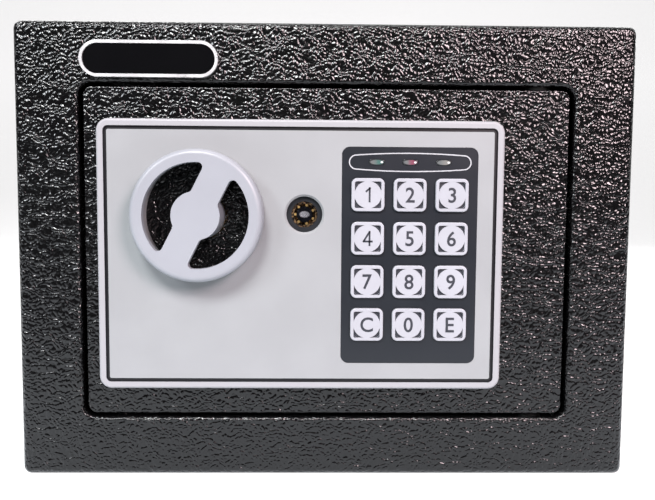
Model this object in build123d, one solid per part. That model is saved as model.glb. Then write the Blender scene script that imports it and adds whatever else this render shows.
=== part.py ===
from build123d import *
import math
import os

# Home safe with an electronic keypad, in millimetres. Seen by someone facing the door, X runs to
# the right, Y runs into the safe and Z is up. The origin is the middle of the cabinet's underside.

# Clearances
SHAFT_FIT = 0.05
WINDOW_FIT = 0.15
SEAT_GAP = 0.1

# Cabinet of folded sheet steel
CABINET_W = 230.0
CABINET_H = 170.0
CABINET_D = 170.0
SHEET_T = 1.5
CORNER_R = 3.0
FRONT_EDGE_R = 2.6
LIP_D = 2.6
LIP_EDGE_R = 1.4
ANCHOR_HOLE_R = 5.0
BASE_ANCHOR_SPACING = 110.0
BASE_ANCHOR_Y = 20.0
BACK_ANCHOR_SPACING = 110.0
BACK_ANCHOR_Z = 100.0

# Floor mat of felt
MAT_T = 2.0
MAT_MARGIN = 2.5
MAT_HOLE_R = 7.0

# Badge plate on the frame, left bare
BADGE_L = 50.5
BADGE_H = 13.2
BADGE_RIM_W = 1.1
BADGE_RIM_T = 1.2
BADGE_PLATE_T = 0.7
BADGE_INSET = 49.9
BADGE_DROP = 14.0

# Door plate
DOOR_MARGIN_LEFT = 6.5
DOOR_MARGIN_RIGHT = 25.7
DOOR_MARGIN_TOP = 12.4
DOOR_MARGIN_BOTTOM = 11.2
DOOR_T = 3.0
DOOR_CORNER_R = 3.4
DOOR_EDGE_R = 0.7
DOOR_X = 0.4
DOOR_RISE = 0.1
DOOR_RECESS = 1.0
GAP_SIDE = 1.4
GAP_END = 1.25

# Hinge with pins hidden behind the frame
HINGE_INSET = 10.0
HINGE_DEPTH = 8.0
PIN_R = 3.0
PIN_COLLAR_R = 4.4
LEAF_T = 3.0
LEAF_W = 12.0
LEAF_FOOT_H = 14.0
LEAF_SETBACK = 1.0
LUG_T = 2.5
LUG_W = 18.0
LUG_ROOF_GAP = 5.2
LUG_REACH = 8.0

# Strike plate and door stops, welded behind the frame
STRIKE_T = 2.0
STRIKE_D = 21.0
STRIKE_WALL_GAP = 6.5
STRIKE_END_MARGIN = 12.0
STRIKE_HOLE_GAP = 0.6
STOP_T = 1.5
STOP_W = 16.0
STOP_OVERLAP = 4.0
STOP_ROOF_GAP = 8.2
STOP_INSET = 10.0

# Fascia of moulded plastic
PANEL_T = 6.0
PANEL_CORNER_R = 4.5
PANEL_EDGE_R = 1.0
PANEL_WALL_T = 2.0
PANEL_RIB_T = 1.4
PANEL_RIB_PITCH = 18.0
GROOVE_INSET = 2.75
GROOVE_W = 1.05
GROOVE_D = 0.5
PANEL_SCREW_INSET_X = 7.0
PANEL_SCREW_INSET_Z = 11.0
PANEL_BOSS_R = 3.4
PANEL_SCREW_R = 1.4
PANEL_SCREW_HEAD_R = 2.8
PANEL_SCREW_HEAD_T = 1.8
PANEL_SCREW_L = 4.5

# Keypad
KEYPAD_W = 49.6
KEYPAD_H = 79.5
KEYPAD_MARGIN_RIGHT = 9.8
KEYPAD_MARGIN_TOP = 9.7
KEYPAD_MARGIN_BOTTOM = 9.9
KEYPAD_CORNER_R = 2.8
KEYPAD_PLATE_T = 1.0
KEYPAD_LEDGE = 2.0
KEY_SIZE = 12.05
KEY_CORNER_R = 2.1
KEY_PROUD = 1.1
KEY_EDGE_R = 0.35
KEY_RIM_W = 1.2
KEY_WEDGE_D = 0.6
KEY_FLANGE_W = 0.6
KEY_FLANGE_T = 0.6
KEY_PITCH_X = 15.35
KEY_PITCH_Z = 15.9
KEY_TOP_ROW_RISE = 22.45
KEY_TRAVEL = 0.7
KEY_LIFT = 0.9
DOME_R = 3.6
DOME_H = 0.4
MEMBRANE_T = 0.8
BOARD_T = 1.2
BOARD_LEDGE = 0.8
BOARD_REST = 1.0

# Indicator lights
LIGHT_L = 5.8
LIGHT_H = 2.0
LIGHT_PROUD = 0.25
LIGHT_PITCH = 12.2
LIGHT_RISE = 34.3

# Knob, spindle and crank
KNOB_R = 23.6
KNOB_MARGIN_LEFT = 13.8
KNOB_RISE = 14.6
KNOB_D = 8.4
KNOB_FACE_T = 3.0
KNOB_SKIRT_T = 1.9
KNOB_EDGE_R = 2.0
KNOB_LIFT = 0.6
KNOB_WINDOW_R = 18.8
KNOB_HUB_R = 8.6
KNOB_BAR_W = 10.4
KNOB_BAR_TILT = 27.0
KNOB_WINDOW_CORNER_R = 1.7
PANEL_KNOB_HOLE_R = 21.0
SPINDLE_R = 4.0
SPINDLE_GRIP = 8.0
GRUB_R = 1.5
BUSH_WALL_T = 2.0
BUSH_FLANGE_R = 8.5
BUSH_FLANGE_T = 1.5
BUSH_NUT_ACROSS = 17.0
NUT_T = 2.5
CRANK_T = 2.5
CRANK_RADIUS = 11.0
CRANK_HUB_R = 7.0
CRANK_END_R = 4.4
CRANK_PIN_R = 2.5
CRANK_SWING = 60.0
CRANK_PLAY = 0.3
CRANK_GAP = 0.3

# Bolt carriage and bolts
CARRIAGE_T = 2.0
CARRIAGE_GAP = 0.5
BOLT_R = 7.0
BOLT_SPACING = 48.0
BOLT_RETRACT = 1.5
BOLT_SPIGOT_R = 5.0
BOLT_CHAMFER = 1.2
BOLT_GAP = 3.0
FLANGE_REACH = 15.9
FLANGE_D = 11.0
CARRIAGE_REACH = 25.6
CARRIAGE_MARGIN = 3.0
ARM_H = 9.0
ARM_LOCK_GAP = 3.2
ARM_END_W = 2.8
NOTCH_D = 4.0
NOTCH_PLAY = 0.4
GUIDE_POST_R = 3.0
GUIDE_POST_HEAD_R = 4.6
GUIDE_POST_HEAD_T = 1.2
GUIDE_POST_OFFSET = 7.6
GUIDE_POST_SPACING = 68.0
GUIDE_T = 2.0
GUIDE_INSET = 6.0
GUIDE_FOOT_W = 14.0
GUIDE_END_MARGIN = 9.6
GUIDE_BOLT_GAP = 0.1

# Emergency lock
LOCK_HOLE_R = 6.6
LOCK_KNOB_GAP = 7.9
LOCK_KEYPAD_GAP = 7.1
LOCK_RISE = 0.65
LOCK_HOLE_CHAMFER = 0.7
LOCK_HEAD_R = 8.2
LOCK_HEAD_SINK = 2.1
LOCK_BODY_R = 6.2
LOCK_BODY_D = 11.0
LOCK_NUT_ACROSS = 16.0
CORE_R = 4.75
CORE_SINK = 0.8
CORE_POST_R = 2.9
CORE_SLOT_R = 4.0
CORE_SLOT_D = 5.0
CORE_TAIL_SIDE = 5.0
LEVER_T = 2.4
LEVER_L = 10.0
LEVER_END_R = 3.0
LEVER_GAP = 0.2

# Solenoid
PLUNGER_R = 4.0
PLUNGER_OVERLAP = 1.8
PLUNGER_TRAVEL = 1.5
PLUNGER_GAP = 0.3
PLUNGER_L = 26.0
TONGUE_W = 5.0
TONGUE_T = 2.2
COLLAR_R = 5.6
COLLAR_T = 1.5
COLLAR_DROP = 3.6
SPRING_COILS = 5
SPRING_R = 4.85
SPRING_WIRE_R = 0.3
SPRING_L = 6.0
SOLENOID_H = 24.0
SOLENOID_W = 20.0
SOLENOID_PLATE_T = 1.4
COIL_R = 7.8
COIL_TERMINAL_W = 3.5

# Mechanism cover on the inner side of the door
COVER_MARGIN_LEFT = 2.0
COVER_HINGE_GAP = 7.4
COVER_MARGIN_BOTTOM = 5.25
COVER_MARGIN_TOP = 6.25
COVER_D = 21.5
COVER_T = 1.5
COVER_CORNER_R = 4.0
COVER_EDGE_R = 2.5
COVER_NOTCH_GAP = 0.8
COVER_POST_R = 2.5
COVER_POST_INSET_X = 8.5
COVER_POST_INSET_Z = 5.6
COVER_SCREW_R = 1.25
COVER_SCREW_L = 7.0
COVER_SCREW_HEAD_R = 2.6
COVER_SCREW_HEAD_T = 1.5

# Battery compartment for four AA cells
CELL_R = 7.1
CELL_L = 49.5
CELL_NUB_R = 2.75
CELL_NUB_L = 1.0
CELL_COUNT = 4
CELL_PITCH = 15.25
BATTERY_WALL_T = 1.5
BATTERY_MARGIN_RIGHT = 3.4
BATTERY_MARGIN_BOTTOM = 11.0
BATTERY_SPRING_L = 3.5
BATTERY_FOOT_H = 2.5
CONTACT_T = 0.4
CONTACT_SPRING_R = 3.2
LID_TRAVEL = 15.0
LID_LEDGE = 1.0
LID_RIB_H = 0.6
LID_RIB_COUNT = 4
LID_RIB_PITCH = 2.6

# Reset button for setting a new code
RESET_OFFSET = 1.0
RESET_DROP = 19.2
RESET_R = 2.5
RESET_PROUD = 1.4
RESET_FLANGE_R = 3.6
RESET_FLANGE_T = 1.0
RESET_TRAVEL = 1.2
RESET_SWITCH_SIDE = 8.0
RESET_SWITCH_H = 4.5
RESET_BOARD_W = 20.0
RESET_BOARD_H = 11.0
RESET_LEG_R = 1.4

# Wiring
WIRE_R = 0.9
WIRE_HOLE_OFFSET = 12.5
WIRE_HOLE_RISE = 28.4
WIRE_BEND = 1.6
WIRE_STANDOFF = 2.2
GROMMET_BORE_R = 3.3
GROMMET_WALL_T = 1.2
GROMMET_RIM_R = 5.8
GROMMET_RIM_T = 0.7

# Layout of the door's face, from the knob, lock and keypad outwards
PANEL_W = KNOB_MARGIN_LEFT + 2 * KNOB_R + LOCK_KNOB_GAP + 2 * LOCK_HOLE_R
PANEL_W += LOCK_KEYPAD_GAP + KEYPAD_W + KEYPAD_MARGIN_RIGHT
PANEL_H = KEYPAD_MARGIN_BOTTOM + KEYPAD_H + KEYPAD_MARGIN_TOP
DOOR_W = DOOR_MARGIN_LEFT + PANEL_W + DOOR_MARGIN_RIGHT
DOOR_H = DOOR_MARGIN_BOTTOM + PANEL_H + DOOR_MARGIN_TOP
DOOR_Z = CABINET_H / 2 + DOOR_RISE
DOOR_LEFT_X = DOOR_X - DOOR_W / 2
DOOR_LOW_Z = DOOR_Z - DOOR_H / 2
DOOR_TOP_Z = DOOR_Z + DOOR_H / 2
PANEL_LEFT_X = DOOR_LEFT_X + DOOR_MARGIN_LEFT
PANEL_X = PANEL_LEFT_X + PANEL_W / 2
PANEL_Z = DOOR_LOW_Z + DOOR_MARGIN_BOTTOM + PANEL_H / 2
KNOB_X = PANEL_LEFT_X + KNOB_MARGIN_LEFT + KNOB_R
KNOB_Z = PANEL_Z + KNOB_RISE
LOCK_X = KNOB_X + KNOB_R + LOCK_KNOB_GAP + LOCK_HOLE_R
LOCK_Z = KNOB_Z + LOCK_RISE
KEYPAD_X = LOCK_X + LOCK_HOLE_R + LOCK_KEYPAD_GAP + KEYPAD_W / 2
KEYPAD_Z = PANEL_Z - PANEL_H / 2 + KEYPAD_MARGIN_BOTTOM + KEYPAD_H / 2
KEY_TOP_ROW_Z = KEYPAD_Z + KEY_TOP_ROW_RISE
LIGHT_Z = KEYPAD_Z + LIGHT_RISE
BADGE_X = BADGE_INSET - CABINET_W / 2
BADGE_Z = CABINET_H - BADGE_DROP

# Depths of the main layers, counted from the cabinet's front
FRONT_Y = -CABINET_D / 2
BACK_Y = CABINET_D / 2
DOOR_FRONT_Y = FRONT_Y + DOOR_RECESS
DOOR_BACK_Y = DOOR_FRONT_Y + DOOR_T
PANEL_Y = DOOR_FRONT_Y - PANEL_T
FRAME_BACK_Y = FRONT_Y + SHEET_T
HINGE_X = DOOR_X + DOOR_W / 2 - HINGE_INSET
HINGE_Y = DOOR_FRONT_Y + HINGE_DEPTH
OPENING_W = DOOR_W + 2 * GAP_SIDE
OPENING_H = DOOR_H + 2 * GAP_END
OPENING_R = DOOR_CORNER_R + GAP_END
OPENING_LEFT_X = DOOR_X - OPENING_W / 2
OPENING_TOP_Z = DOOR_Z + OPENING_H / 2

# Layers of the mechanism behind the door
NUT_Y = DOOR_BACK_Y + NUT_T
CRANK_Y = NUT_Y + CRANK_GAP
CARRIAGE_Y = CRANK_Y + CRANK_T + CARRIAGE_GAP
BOLT_Y = DOOR_BACK_Y + BOLT_GAP + BOLT_R
BOLT_ZS = [DOOR_Z - BOLT_SPACING / 2, DOOR_Z + BOLT_SPACING / 2]
BOLT_TIP_X = DOOR_LEFT_X + BOLT_RETRACT
THROW = 2 * CRANK_RADIUS * math.sin(math.radians(CRANK_SWING / 2))
ARM_TOP_Z = LOCK_Z - LOCK_BODY_R - ARM_LOCK_GAP
ARM_LOW_Z = ARM_TOP_Z - ARM_H
PLUNGER_TIP_Z = ARM_LOW_Z - PLUNGER_GAP
PLUNGER_Y = CARRIAGE_Y + CARRIAGE_T + PLUNGER_R - PLUNGER_OVERLAP
COLLAR_LOW_Z = PLUNGER_TIP_Z - COLLAR_DROP - COLLAR_T
SOLENOID_TOP_Z = COLLAR_LOW_Z - SPRING_L
SOLENOID_LOW_Z = SOLENOID_TOP_Z - SOLENOID_H
LOCK_BACK_Y = DOOR_FRONT_Y + LOCK_BODY_D + DOOR_T
LEVER_Y = LOCK_BACK_Y + SEAT_GAP
COVER_BACK_Y = DOOR_BACK_Y + COVER_D
COVER_INNER_Y = COVER_BACK_Y - COVER_T

# Layout of the mechanism, from the knob, the lock and the door's edges
FLANGE_X = KNOB_X - FLANGE_REACH
CARRIAGE_RIGHT_X = KNOB_X + CARRIAGE_REACH
GUIDE_POST_X = KNOB_X + GUIDE_POST_OFFSET
GUIDE_X = DOOR_LEFT_X + GUIDE_INSET
COVER_LEFT_X = DOOR_LEFT_X + COVER_MARGIN_LEFT
COVER_RIGHT_X = HINGE_X - COVER_HINGE_GAP
COVER_LOW_Z = DOOR_LOW_Z + COVER_MARGIN_BOTTOM
COVER_HIGH_Z = DOOR_TOP_Z - COVER_MARGIN_TOP
WIRE_HOLE_X = KEYPAD_X - WIRE_HOLE_OFFSET
WIRE_HOLE_Z = KEYPAD_Z + WIRE_HOLE_RISE

# Layers of the keypad inside the fascia
KEYPAD_BACK_Y = PANEL_Y + KEYPAD_PLATE_T
BOARD_BACK_Y = DOOR_FRONT_Y - BOARD_REST
BOARD_FRONT_Y = BOARD_BACK_Y - BOARD_T
DOME_TOP_Y = BOARD_FRONT_Y - MEMBRANE_T - DOME_H
WINDOW_W = KEYPAD_W - 2 * KEYPAD_LEDGE
WINDOW_H = KEYPAD_H - 2 * KEYPAD_LEDGE
KEY_NAMES = ["1", "2", "3", "4", "5", "6", "7", "8", "9", "c", "0", "e"]

# Battery box, from its cells
BATTERY_RIGHT_X = COVER_RIGHT_X - BATTERY_MARGIN_RIGHT
CELL_BAY_L = BATTERY_SPRING_L + CELL_L + CELL_NUB_L + 2 * SEAT_GAP
BATTERY_BOX_W = CELL_BAY_L + 2 * (CONTACT_T + BATTERY_WALL_T)
BATTERY_LEFT_X = BATTERY_RIGHT_X - BATTERY_BOX_W
BATTERY_LOW_Z = COVER_LOW_Z + BATTERY_MARGIN_BOTTOM
BATTERY_BOX_H = CELL_COUNT * CELL_PITCH + 2 * BATTERY_WALL_T
BATTERY_TOP_Z = BATTERY_LOW_Z + BATTERY_BOX_H
BATTERY_X = BATTERY_LEFT_X + BATTERY_BOX_W / 2
BATTERY_Z = BATTERY_LOW_Z + BATTERY_BOX_H / 2
BATTERY_FLOOR_Y = DOOR_BACK_Y + BATTERY_FOOT_H + BATTERY_WALL_T
CELL_Y = BATTERY_FLOOR_Y + SEAT_GAP + CELL_R
CELL_ZS = [BATTERY_Z + (i - (CELL_COUNT - 1) / 2) * CELL_PITCH for i in range(CELL_COUNT)]
LID_W = BATTERY_BOX_W - 2 * BATTERY_WALL_T
LID_H = BATTERY_BOX_H - 2 * BATTERY_WALL_T
RESET_X = BATTERY_X - RESET_OFFSET
RESET_Z = COVER_HIGH_Z - RESET_DROP


# Drawing helpers


def rect(a0, a1, b0, b1):
    """Rectangle between two corners of a sketch plane."""
    return Pos((a0 + a1) / 2, (b0 + b1) / 2) * Rectangle(a1 - a0, b1 - b0)


def slab(outline, y0, y1):
    """Outline drawn in X and Z as seen from the front, made solid from y0 back to y1."""
    return extrude(Plane.XZ.offset(-y1) * outline, amount=y1 - y0)


def upright(outline, z0, z1):
    """Outline drawn in X and Y as seen from above, made solid from z0 up to z1."""
    return extrude(Plane.XY.offset(z0) * outline, amount=z1 - z0)


def across(outline, x0, x1):
    """Outline drawn in Y and Z as seen from the side, made solid from x0 right to x1."""
    return extrude(Plane.YZ.offset(x0) * outline, amount=x1 - x0)


def front_edges(solid):
    """Edges round the face that is nearest to the viewer."""
    return solid.faces().sort_by(Axis.Y)[0].edges()


def back_edges(solid):
    """Edges round the face that is furthest from the viewer."""
    return solid.faces().sort_by(Axis.Y)[-1].edges()


def top_and_bottom(solid):
    """A piece above the door's middle and its mirror image below."""
    return Compound(children=[solid, mirror(solid, about=Plane.XY.offset(DOOR_Z))])


def hexagon(across_flats):
    """Hexagon of a nut, by its size across the flats."""
    return RegularPolygon(across_flats / 2, 6, major_radius=False)


# Cabinet


def folded_block(inset, back_y):
    """The cabinet's outer block, taken in by inset at the front and on its four sides."""
    radius = CORNER_R - inset
    outline = RectangleRounded(CABINET_W - 2 * inset, CABINET_H - 2 * inset, radius)
    block = slab(Pos(0, CABINET_H / 2) * outline, FRONT_Y + inset, back_y)
    return fillet(front_edges(block), FRONT_EDGE_R - inset)


def anchor_holes_in_base(radius, top_z):
    """Holes for the two floor bolts, up to top_z."""
    spots = GridLocations(BASE_ANCHOR_SPACING, 1, 2, 1)
    outline = Pos(0, BASE_ANCHOR_Y) * Sketch(children=[spot * Circle(radius) for spot in spots])
    return upright(outline, -1, top_z)


def make_cabinet_shell():
    """Front, sides, top and bottom in one folded sheet, with a rolled lip round the door."""
    shell = folded_block(0, BACK_Y) - folded_block(SHEET_T, BACK_Y + 1)
    middle = Pos(DOOR_X, DOOR_Z)
    lip = middle * RectangleRounded(
        OPENING_W + 2 * SHEET_T, OPENING_H + 2 * SHEET_T, OPENING_R + SHEET_T
    )
    shell += slab(lip, FRONT_Y, FRONT_Y + LIP_D)
    opening = middle * RectangleRounded(OPENING_W, OPENING_H, OPENING_R)
    shell -= slab(opening, FRONT_Y - 1, FRONT_Y + LIP_D + 1)
    face = shell.faces().filter_by(Axis.Y).sort_by(Axis.Y)[0]
    shell = fillet(face.inner_wires().edges(), LIP_EDGE_R)
    return shell - anchor_holes_in_base(ANCHOR_HOLE_R, SHEET_T + 1)


def make_back_panel():
    """Rear wall let in between the sides, with two holes for wall bolts."""
    outline = Pos(0, CABINET_H / 2) * RectangleRounded(
        CABINET_W - 2 * SHEET_T, CABINET_H - 2 * SHEET_T, CORNER_R - SHEET_T
    )
    for side in (-1, 1):
        outline -= Pos(side * BACK_ANCHOR_SPACING / 2, BACK_ANCHOR_Z) * Circle(ANCHOR_HOLE_R)
    return slab(outline, BACK_Y - SHEET_T, BACK_Y)


def make_floor_mat():
    """Felt mat on the cabinet's floor, punched for the floor bolts."""
    half_w = CABINET_W / 2 - SHEET_T - MAT_MARGIN
    front = FRAME_BACK_Y + MAT_MARGIN
    back = BACK_Y - SHEET_T - MAT_MARGIN
    mat = upright(rect(-half_w, half_w, front, back), SHEET_T, SHEET_T + MAT_T)
    return mat - anchor_holes_in_base(MAT_HOLE_R, SHEET_T + MAT_T + 1)


def make_badge_plate():
    """Plain oval field of the badge."""
    outline = SlotOverall(BADGE_L - 2 * BADGE_RIM_W, BADGE_H - 2 * BADGE_RIM_W)
    return slab(Pos(BADGE_X, BADGE_Z) * outline, FRONT_Y - BADGE_PLATE_T, FRONT_Y)


def make_badge_rim():
    """Raised border round the badge."""
    outline = SlotOverall(BADGE_L, BADGE_H)
    outline -= SlotOverall(BADGE_L - 2 * BADGE_RIM_W, BADGE_H - 2 * BADGE_RIM_W)
    return slab(Pos(BADGE_X, BADGE_Z) * outline, FRONT_Y - BADGE_RIM_T, FRONT_Y)


def make_strike_plate():
    """Angle behind the frame's left side, with a hole for each bolt."""
    web_x1 = OPENING_LEFT_X - SHEET_T - SEAT_GAP
    web_x0 = web_x1 - STRIKE_T
    low = BOLT_ZS[0] - STRIKE_END_MARGIN
    high = BOLT_ZS[1] + STRIKE_END_MARGIN
    web = rect(web_x0, web_x1, FRAME_BACK_Y, FRAME_BACK_Y + STRIKE_D)
    foot_x0 = SHEET_T - CABINET_W / 2 + STRIKE_WALL_GAP
    foot = rect(foot_x0, web_x1, FRAME_BACK_Y, FRAME_BACK_Y + STRIKE_T)
    angle = upright(web + foot, low, high)
    for z in BOLT_ZS:
        angle -= across(Pos(BOLT_Y, z) * Circle(BOLT_R + STRIKE_HOLE_GAP), web_x0 - 1, web_x1 + 1)
    return angle


def make_door_stops():
    """Stepped tabs behind the frame that the closed door rests on."""
    foot_z = OPENING_TOP_Z + SHEET_T + SEAT_GAP
    rest_y = DOOR_BACK_Y + SEAT_GAP
    foot_top_z = CABINET_H - SHEET_T - STOP_ROOF_GAP
    foot = rect(FRAME_BACK_Y, FRAME_BACK_Y + STOP_T, foot_z, foot_top_z)
    shelf = rect(FRAME_BACK_Y, rest_y + STOP_T, foot_z, foot_z + STOP_T)
    tab = rect(rest_y, rest_y + STOP_T, DOOR_TOP_Z - STOP_OVERLAP, foot_z + STOP_T)
    left = DOOR_LEFT_X + STOP_INSET
    return top_and_bottom(across(foot + shelf + tab, left, left + STOP_W))


# Hinge


LEAF_TOP_Z = DOOR_TOP_Z - LEAF_SETBACK
LUG_LOW_Z = OPENING_TOP_Z + SHEET_T + SEAT_GAP


def make_hinge_lugs():
    """Angles behind the frame, above and below the door, that hold the pins."""
    shelf = rect(HINGE_X - LUG_W / 2, HINGE_X + LUG_W / 2, FRAME_BACK_Y, HINGE_Y + LUG_REACH)
    lug = upright(shelf, LUG_LOW_Z, LUG_LOW_Z + LUG_T)
    rear = lug.edges().filter_by(Axis.Z).sort_by(Axis.Y)[-2:]
    lug = fillet(rear, LUG_REACH / 2)
    foot = rect(HINGE_X - LUG_W / 2, HINGE_X + LUG_W / 2, FRAME_BACK_Y, FRAME_BACK_Y + LUG_T)
    lug += upright(foot, LUG_LOW_Z, CABINET_H - SHEET_T - LUG_ROOF_GAP)
    bore = Pos(HINGE_X, HINGE_Y) * Circle(PIN_R + SHAFT_FIT)
    lug -= upright(bore, LUG_LOW_Z - 1, LUG_LOW_Z + LUG_T + 1)
    return top_and_bottom(lug)


def make_hinge_pins():
    """Shouldered pins in the lugs, which the door's leaves turn on."""
    axis = Pos(HINGE_X, HINGE_Y)
    pin = upright(axis * Circle(PIN_R), LEAF_TOP_Z - LEAF_T, LUG_LOW_Z + LUG_T)
    pin += upright(axis * Circle(PIN_COLLAR_R), LEAF_TOP_Z + SEAT_GAP, LUG_LOW_Z)
    pin = chamfer(pin.edges().sort_by(Axis.Z)[0], PIN_R / 6)
    return top_and_bottom(pin)


def make_hinge_leaves():
    """Angles welded to the door's back, each with an eye round its pin."""
    arm = rect(HINGE_X - LEAF_W / 2, HINGE_X + LEAF_W / 2, DOOR_BACK_Y, HINGE_Y)
    eye = Pos(HINGE_X, HINGE_Y) * Circle(LEAF_W / 2)
    eye -= rect(HINGE_X - LEAF_W, HINGE_X + LEAF_W, HINGE_Y - LEAF_W, DOOR_BACK_Y)
    leaf = upright(arm + eye, LEAF_TOP_Z - LEAF_T, LEAF_TOP_Z)
    foot = rect(HINGE_X - LEAF_W / 2, HINGE_X + LEAF_W / 2, DOOR_BACK_Y, DOOR_BACK_Y + LEAF_T / 2)
    leaf += upright(foot, LEAF_TOP_Z - LEAF_FOOT_H, LEAF_TOP_Z)
    bore = Pos(HINGE_X, HINGE_Y) * Circle(PIN_R + SHAFT_FIT)
    leaf -= upright(bore, LEAF_TOP_Z - LEAF_T, LEAF_TOP_Z + 1)
    return top_and_bottom(leaf)


# Door plate and fascia


def panel_screw_spots():
    """Places of the four screws that hold the fascia, in X and Z."""
    return GridLocations(
        PANEL_W - 2 * PANEL_SCREW_INSET_X, PANEL_H - 2 * PANEL_SCREW_INSET_Z, 2, 2
    )


def make_door_plate():
    """Flat steel door, drilled for the spindle, the lock, the wiring and the fascia's screws."""
    plate = slab(
        Pos(DOOR_X, DOOR_Z) * RectangleRounded(DOOR_W, DOOR_H, DOOR_CORNER_R),
        DOOR_FRONT_Y,
        DOOR_BACK_Y,
    )
    plate = fillet(front_edges(plate), DOOR_EDGE_R)
    holes = Pos(KNOB_X, KNOB_Z) * Circle(SPINDLE_R + BUSH_WALL_T + SEAT_GAP)
    holes += Pos(LOCK_X, LOCK_Z) * Circle(LOCK_BODY_R + SEAT_GAP)
    holes += Pos(WIRE_HOLE_X, WIRE_HOLE_Z) * Circle(GROMMET_BORE_R + GROMMET_WALL_T)
    for spot in panel_screw_spots():
        holes += Pos(PANEL_X, PANEL_Z) * spot * Circle(PANEL_SCREW_R + SEAT_GAP)
    return plate - slab(holes, DOOR_FRONT_Y - 1, DOOR_BACK_Y + 1)


def panel_ribs():
    """Stiffening grid behind the fascia's face, as an outline."""
    ribs = Sketch()
    columns = int(PANEL_W / 2 / PANEL_RIB_PITCH)
    rows = int(PANEL_H / 2 / PANEL_RIB_PITCH)
    for i in range(-columns, columns + 1):
        ribs += Pos(PANEL_X + i * PANEL_RIB_PITCH, PANEL_Z) * Rectangle(PANEL_RIB_T, PANEL_H)
    for i in range(-rows, rows + 1):
        ribs += Pos(PANEL_X, PANEL_Z + i * PANEL_RIB_PITCH) * Rectangle(PANEL_W, PANEL_RIB_T)
    return ribs


def make_front_panel():
    """Hollow moulded fascia, with bosses round its holes, a keypad bay and a ribbed back."""
    middle = Pos(PANEL_X, PANEL_Z)
    panel = slab(
        middle * RectangleRounded(PANEL_W, PANEL_H, PANEL_CORNER_R), PANEL_Y, DOOR_FRONT_Y
    )
    panel = fillet(front_edges(panel), PANEL_EDGE_R)

    inner = Rectangle(PANEL_W - 2 * PANEL_WALL_T, PANEL_H - 2 * PANEL_WALL_T)
    pocket = middle * inner
    bay = Pos(KEYPAD_X, KEYPAD_Z) * Rectangle(
        WINDOW_W + 2 * (BOARD_LEDGE + PANEL_WALL_T), WINDOW_H + 2 * (BOARD_LEDGE + PANEL_WALL_T)
    )
    knob_spot = Pos(KNOB_X, KNOB_Z)
    lock_spot = Pos(LOCK_X, LOCK_Z)
    kept = panel_ribs() + bay
    kept += knob_spot * Circle(PANEL_KNOB_HOLE_R + PANEL_WALL_T)
    kept += lock_spot * Circle(LOCK_HEAD_R + PANEL_WALL_T)
    for spot in panel_screw_spots():
        kept += middle * spot * Circle(PANEL_BOSS_R)
    panel -= slab(pocket - kept, PANEL_Y + PANEL_WALL_T, DOOR_FRONT_Y + 1)

    ring_w = PANEL_W - 2 * GROOVE_INSET
    ring_h = PANEL_H - 2 * GROOVE_INSET
    ring_r = PANEL_CORNER_R - GROOVE_INSET
    groove = RectangleRounded(ring_w, ring_h, ring_r)
    groove -= RectangleRounded(ring_w - 2 * GROOVE_W, ring_h - 2 * GROOVE_W, ring_r - GROOVE_W / 2)
    panel -= slab(middle * groove, PANEL_Y - 1, PANEL_Y + GROOVE_D)

    panel -= slab(knob_spot * Circle(PANEL_KNOB_HOLE_R), PANEL_Y - 1, DOOR_FRONT_Y + 1)
    panel -= slab(lock_spot * Circle(LOCK_HOLE_R), PANEL_Y - 1, DOOR_FRONT_Y + 1)
    head_room = lock_spot * Circle(LOCK_HEAD_R + SEAT_GAP)
    panel -= slab(head_room, PANEL_Y + LOCK_HEAD_SINK, DOOR_FRONT_Y + 1)
    for spot in panel_screw_spots():
        pilot = middle * spot * Circle(PANEL_SCREW_R)
        panel -= slab(pilot, DOOR_BACK_Y - PANEL_SCREW_L, DOOR_FRONT_Y + 1)

    keypad_spot = Pos(KEYPAD_X, KEYPAD_Z)
    recess = RectangleRounded(
        KEYPAD_W + 2 * SEAT_GAP, KEYPAD_H + 2 * SEAT_GAP, KEYPAD_CORNER_R + SEAT_GAP
    )
    panel -= slab(keypad_spot * recess, PANEL_Y - 1, KEYPAD_BACK_Y)
    panel -= slab(keypad_spot * Rectangle(WINDOW_W, WINDOW_H), PANEL_Y, DOOR_FRONT_Y + 1)
    board_room = Rectangle(
        WINDOW_W + 2 * (BOARD_LEDGE + SEAT_GAP), WINDOW_H + 2 * (BOARD_LEDGE + SEAT_GAP)
    )
    panel -= slab(keypad_spot * board_room, BOARD_FRONT_Y, DOOR_FRONT_Y + 1)

    rim = panel.edges().filter_by(GeomType.CIRCLE).filter_by(
        lambda edge: abs(edge.radius - LOCK_HOLE_R) < 0.01 and edge.center().Y < PANEL_Y + 0.01
    )
    return chamfer(rim, LOCK_HOLE_CHAMFER)


def make_panel_screws():
    """Four screws through the door into the fascia's bosses, with pan heads inside."""
    screws = []
    for spot in panel_screw_spots():
        place = Pos(PANEL_X, PANEL_Z) * spot
        tip_y = DOOR_BACK_Y - PANEL_SCREW_L + SEAT_GAP
        screw = slab(place * Circle(PANEL_SCREW_R - SHAFT_FIT), tip_y, DOOR_BACK_Y)
        head = slab(
            place * Circle(PANEL_SCREW_HEAD_R), DOOR_BACK_Y, DOOR_BACK_Y + PANEL_SCREW_HEAD_T
        )
        head = fillet(back_edges(head), PANEL_SCREW_HEAD_T / 3)
        screws.append(screw + head)
    return Compound(children=screws)


# Keypad


def key_spots():
    """Middle of each key by its name, in X and Z."""
    spots = {}
    for i, name in enumerate(KEY_NAMES):
        row, column = divmod(i, 3)
        x = KEYPAD_X + (column - 1) * KEY_PITCH_X
        spots[name] = (x, KEY_TOP_ROW_Z - row * KEY_PITCH_Z)
    return spots


def light_spots():
    """Middles of the three indicator lights, in X and Z."""
    return [(KEYPAD_X + (i - 1) * LIGHT_PITCH, LIGHT_Z) for i in range(3)]


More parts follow.
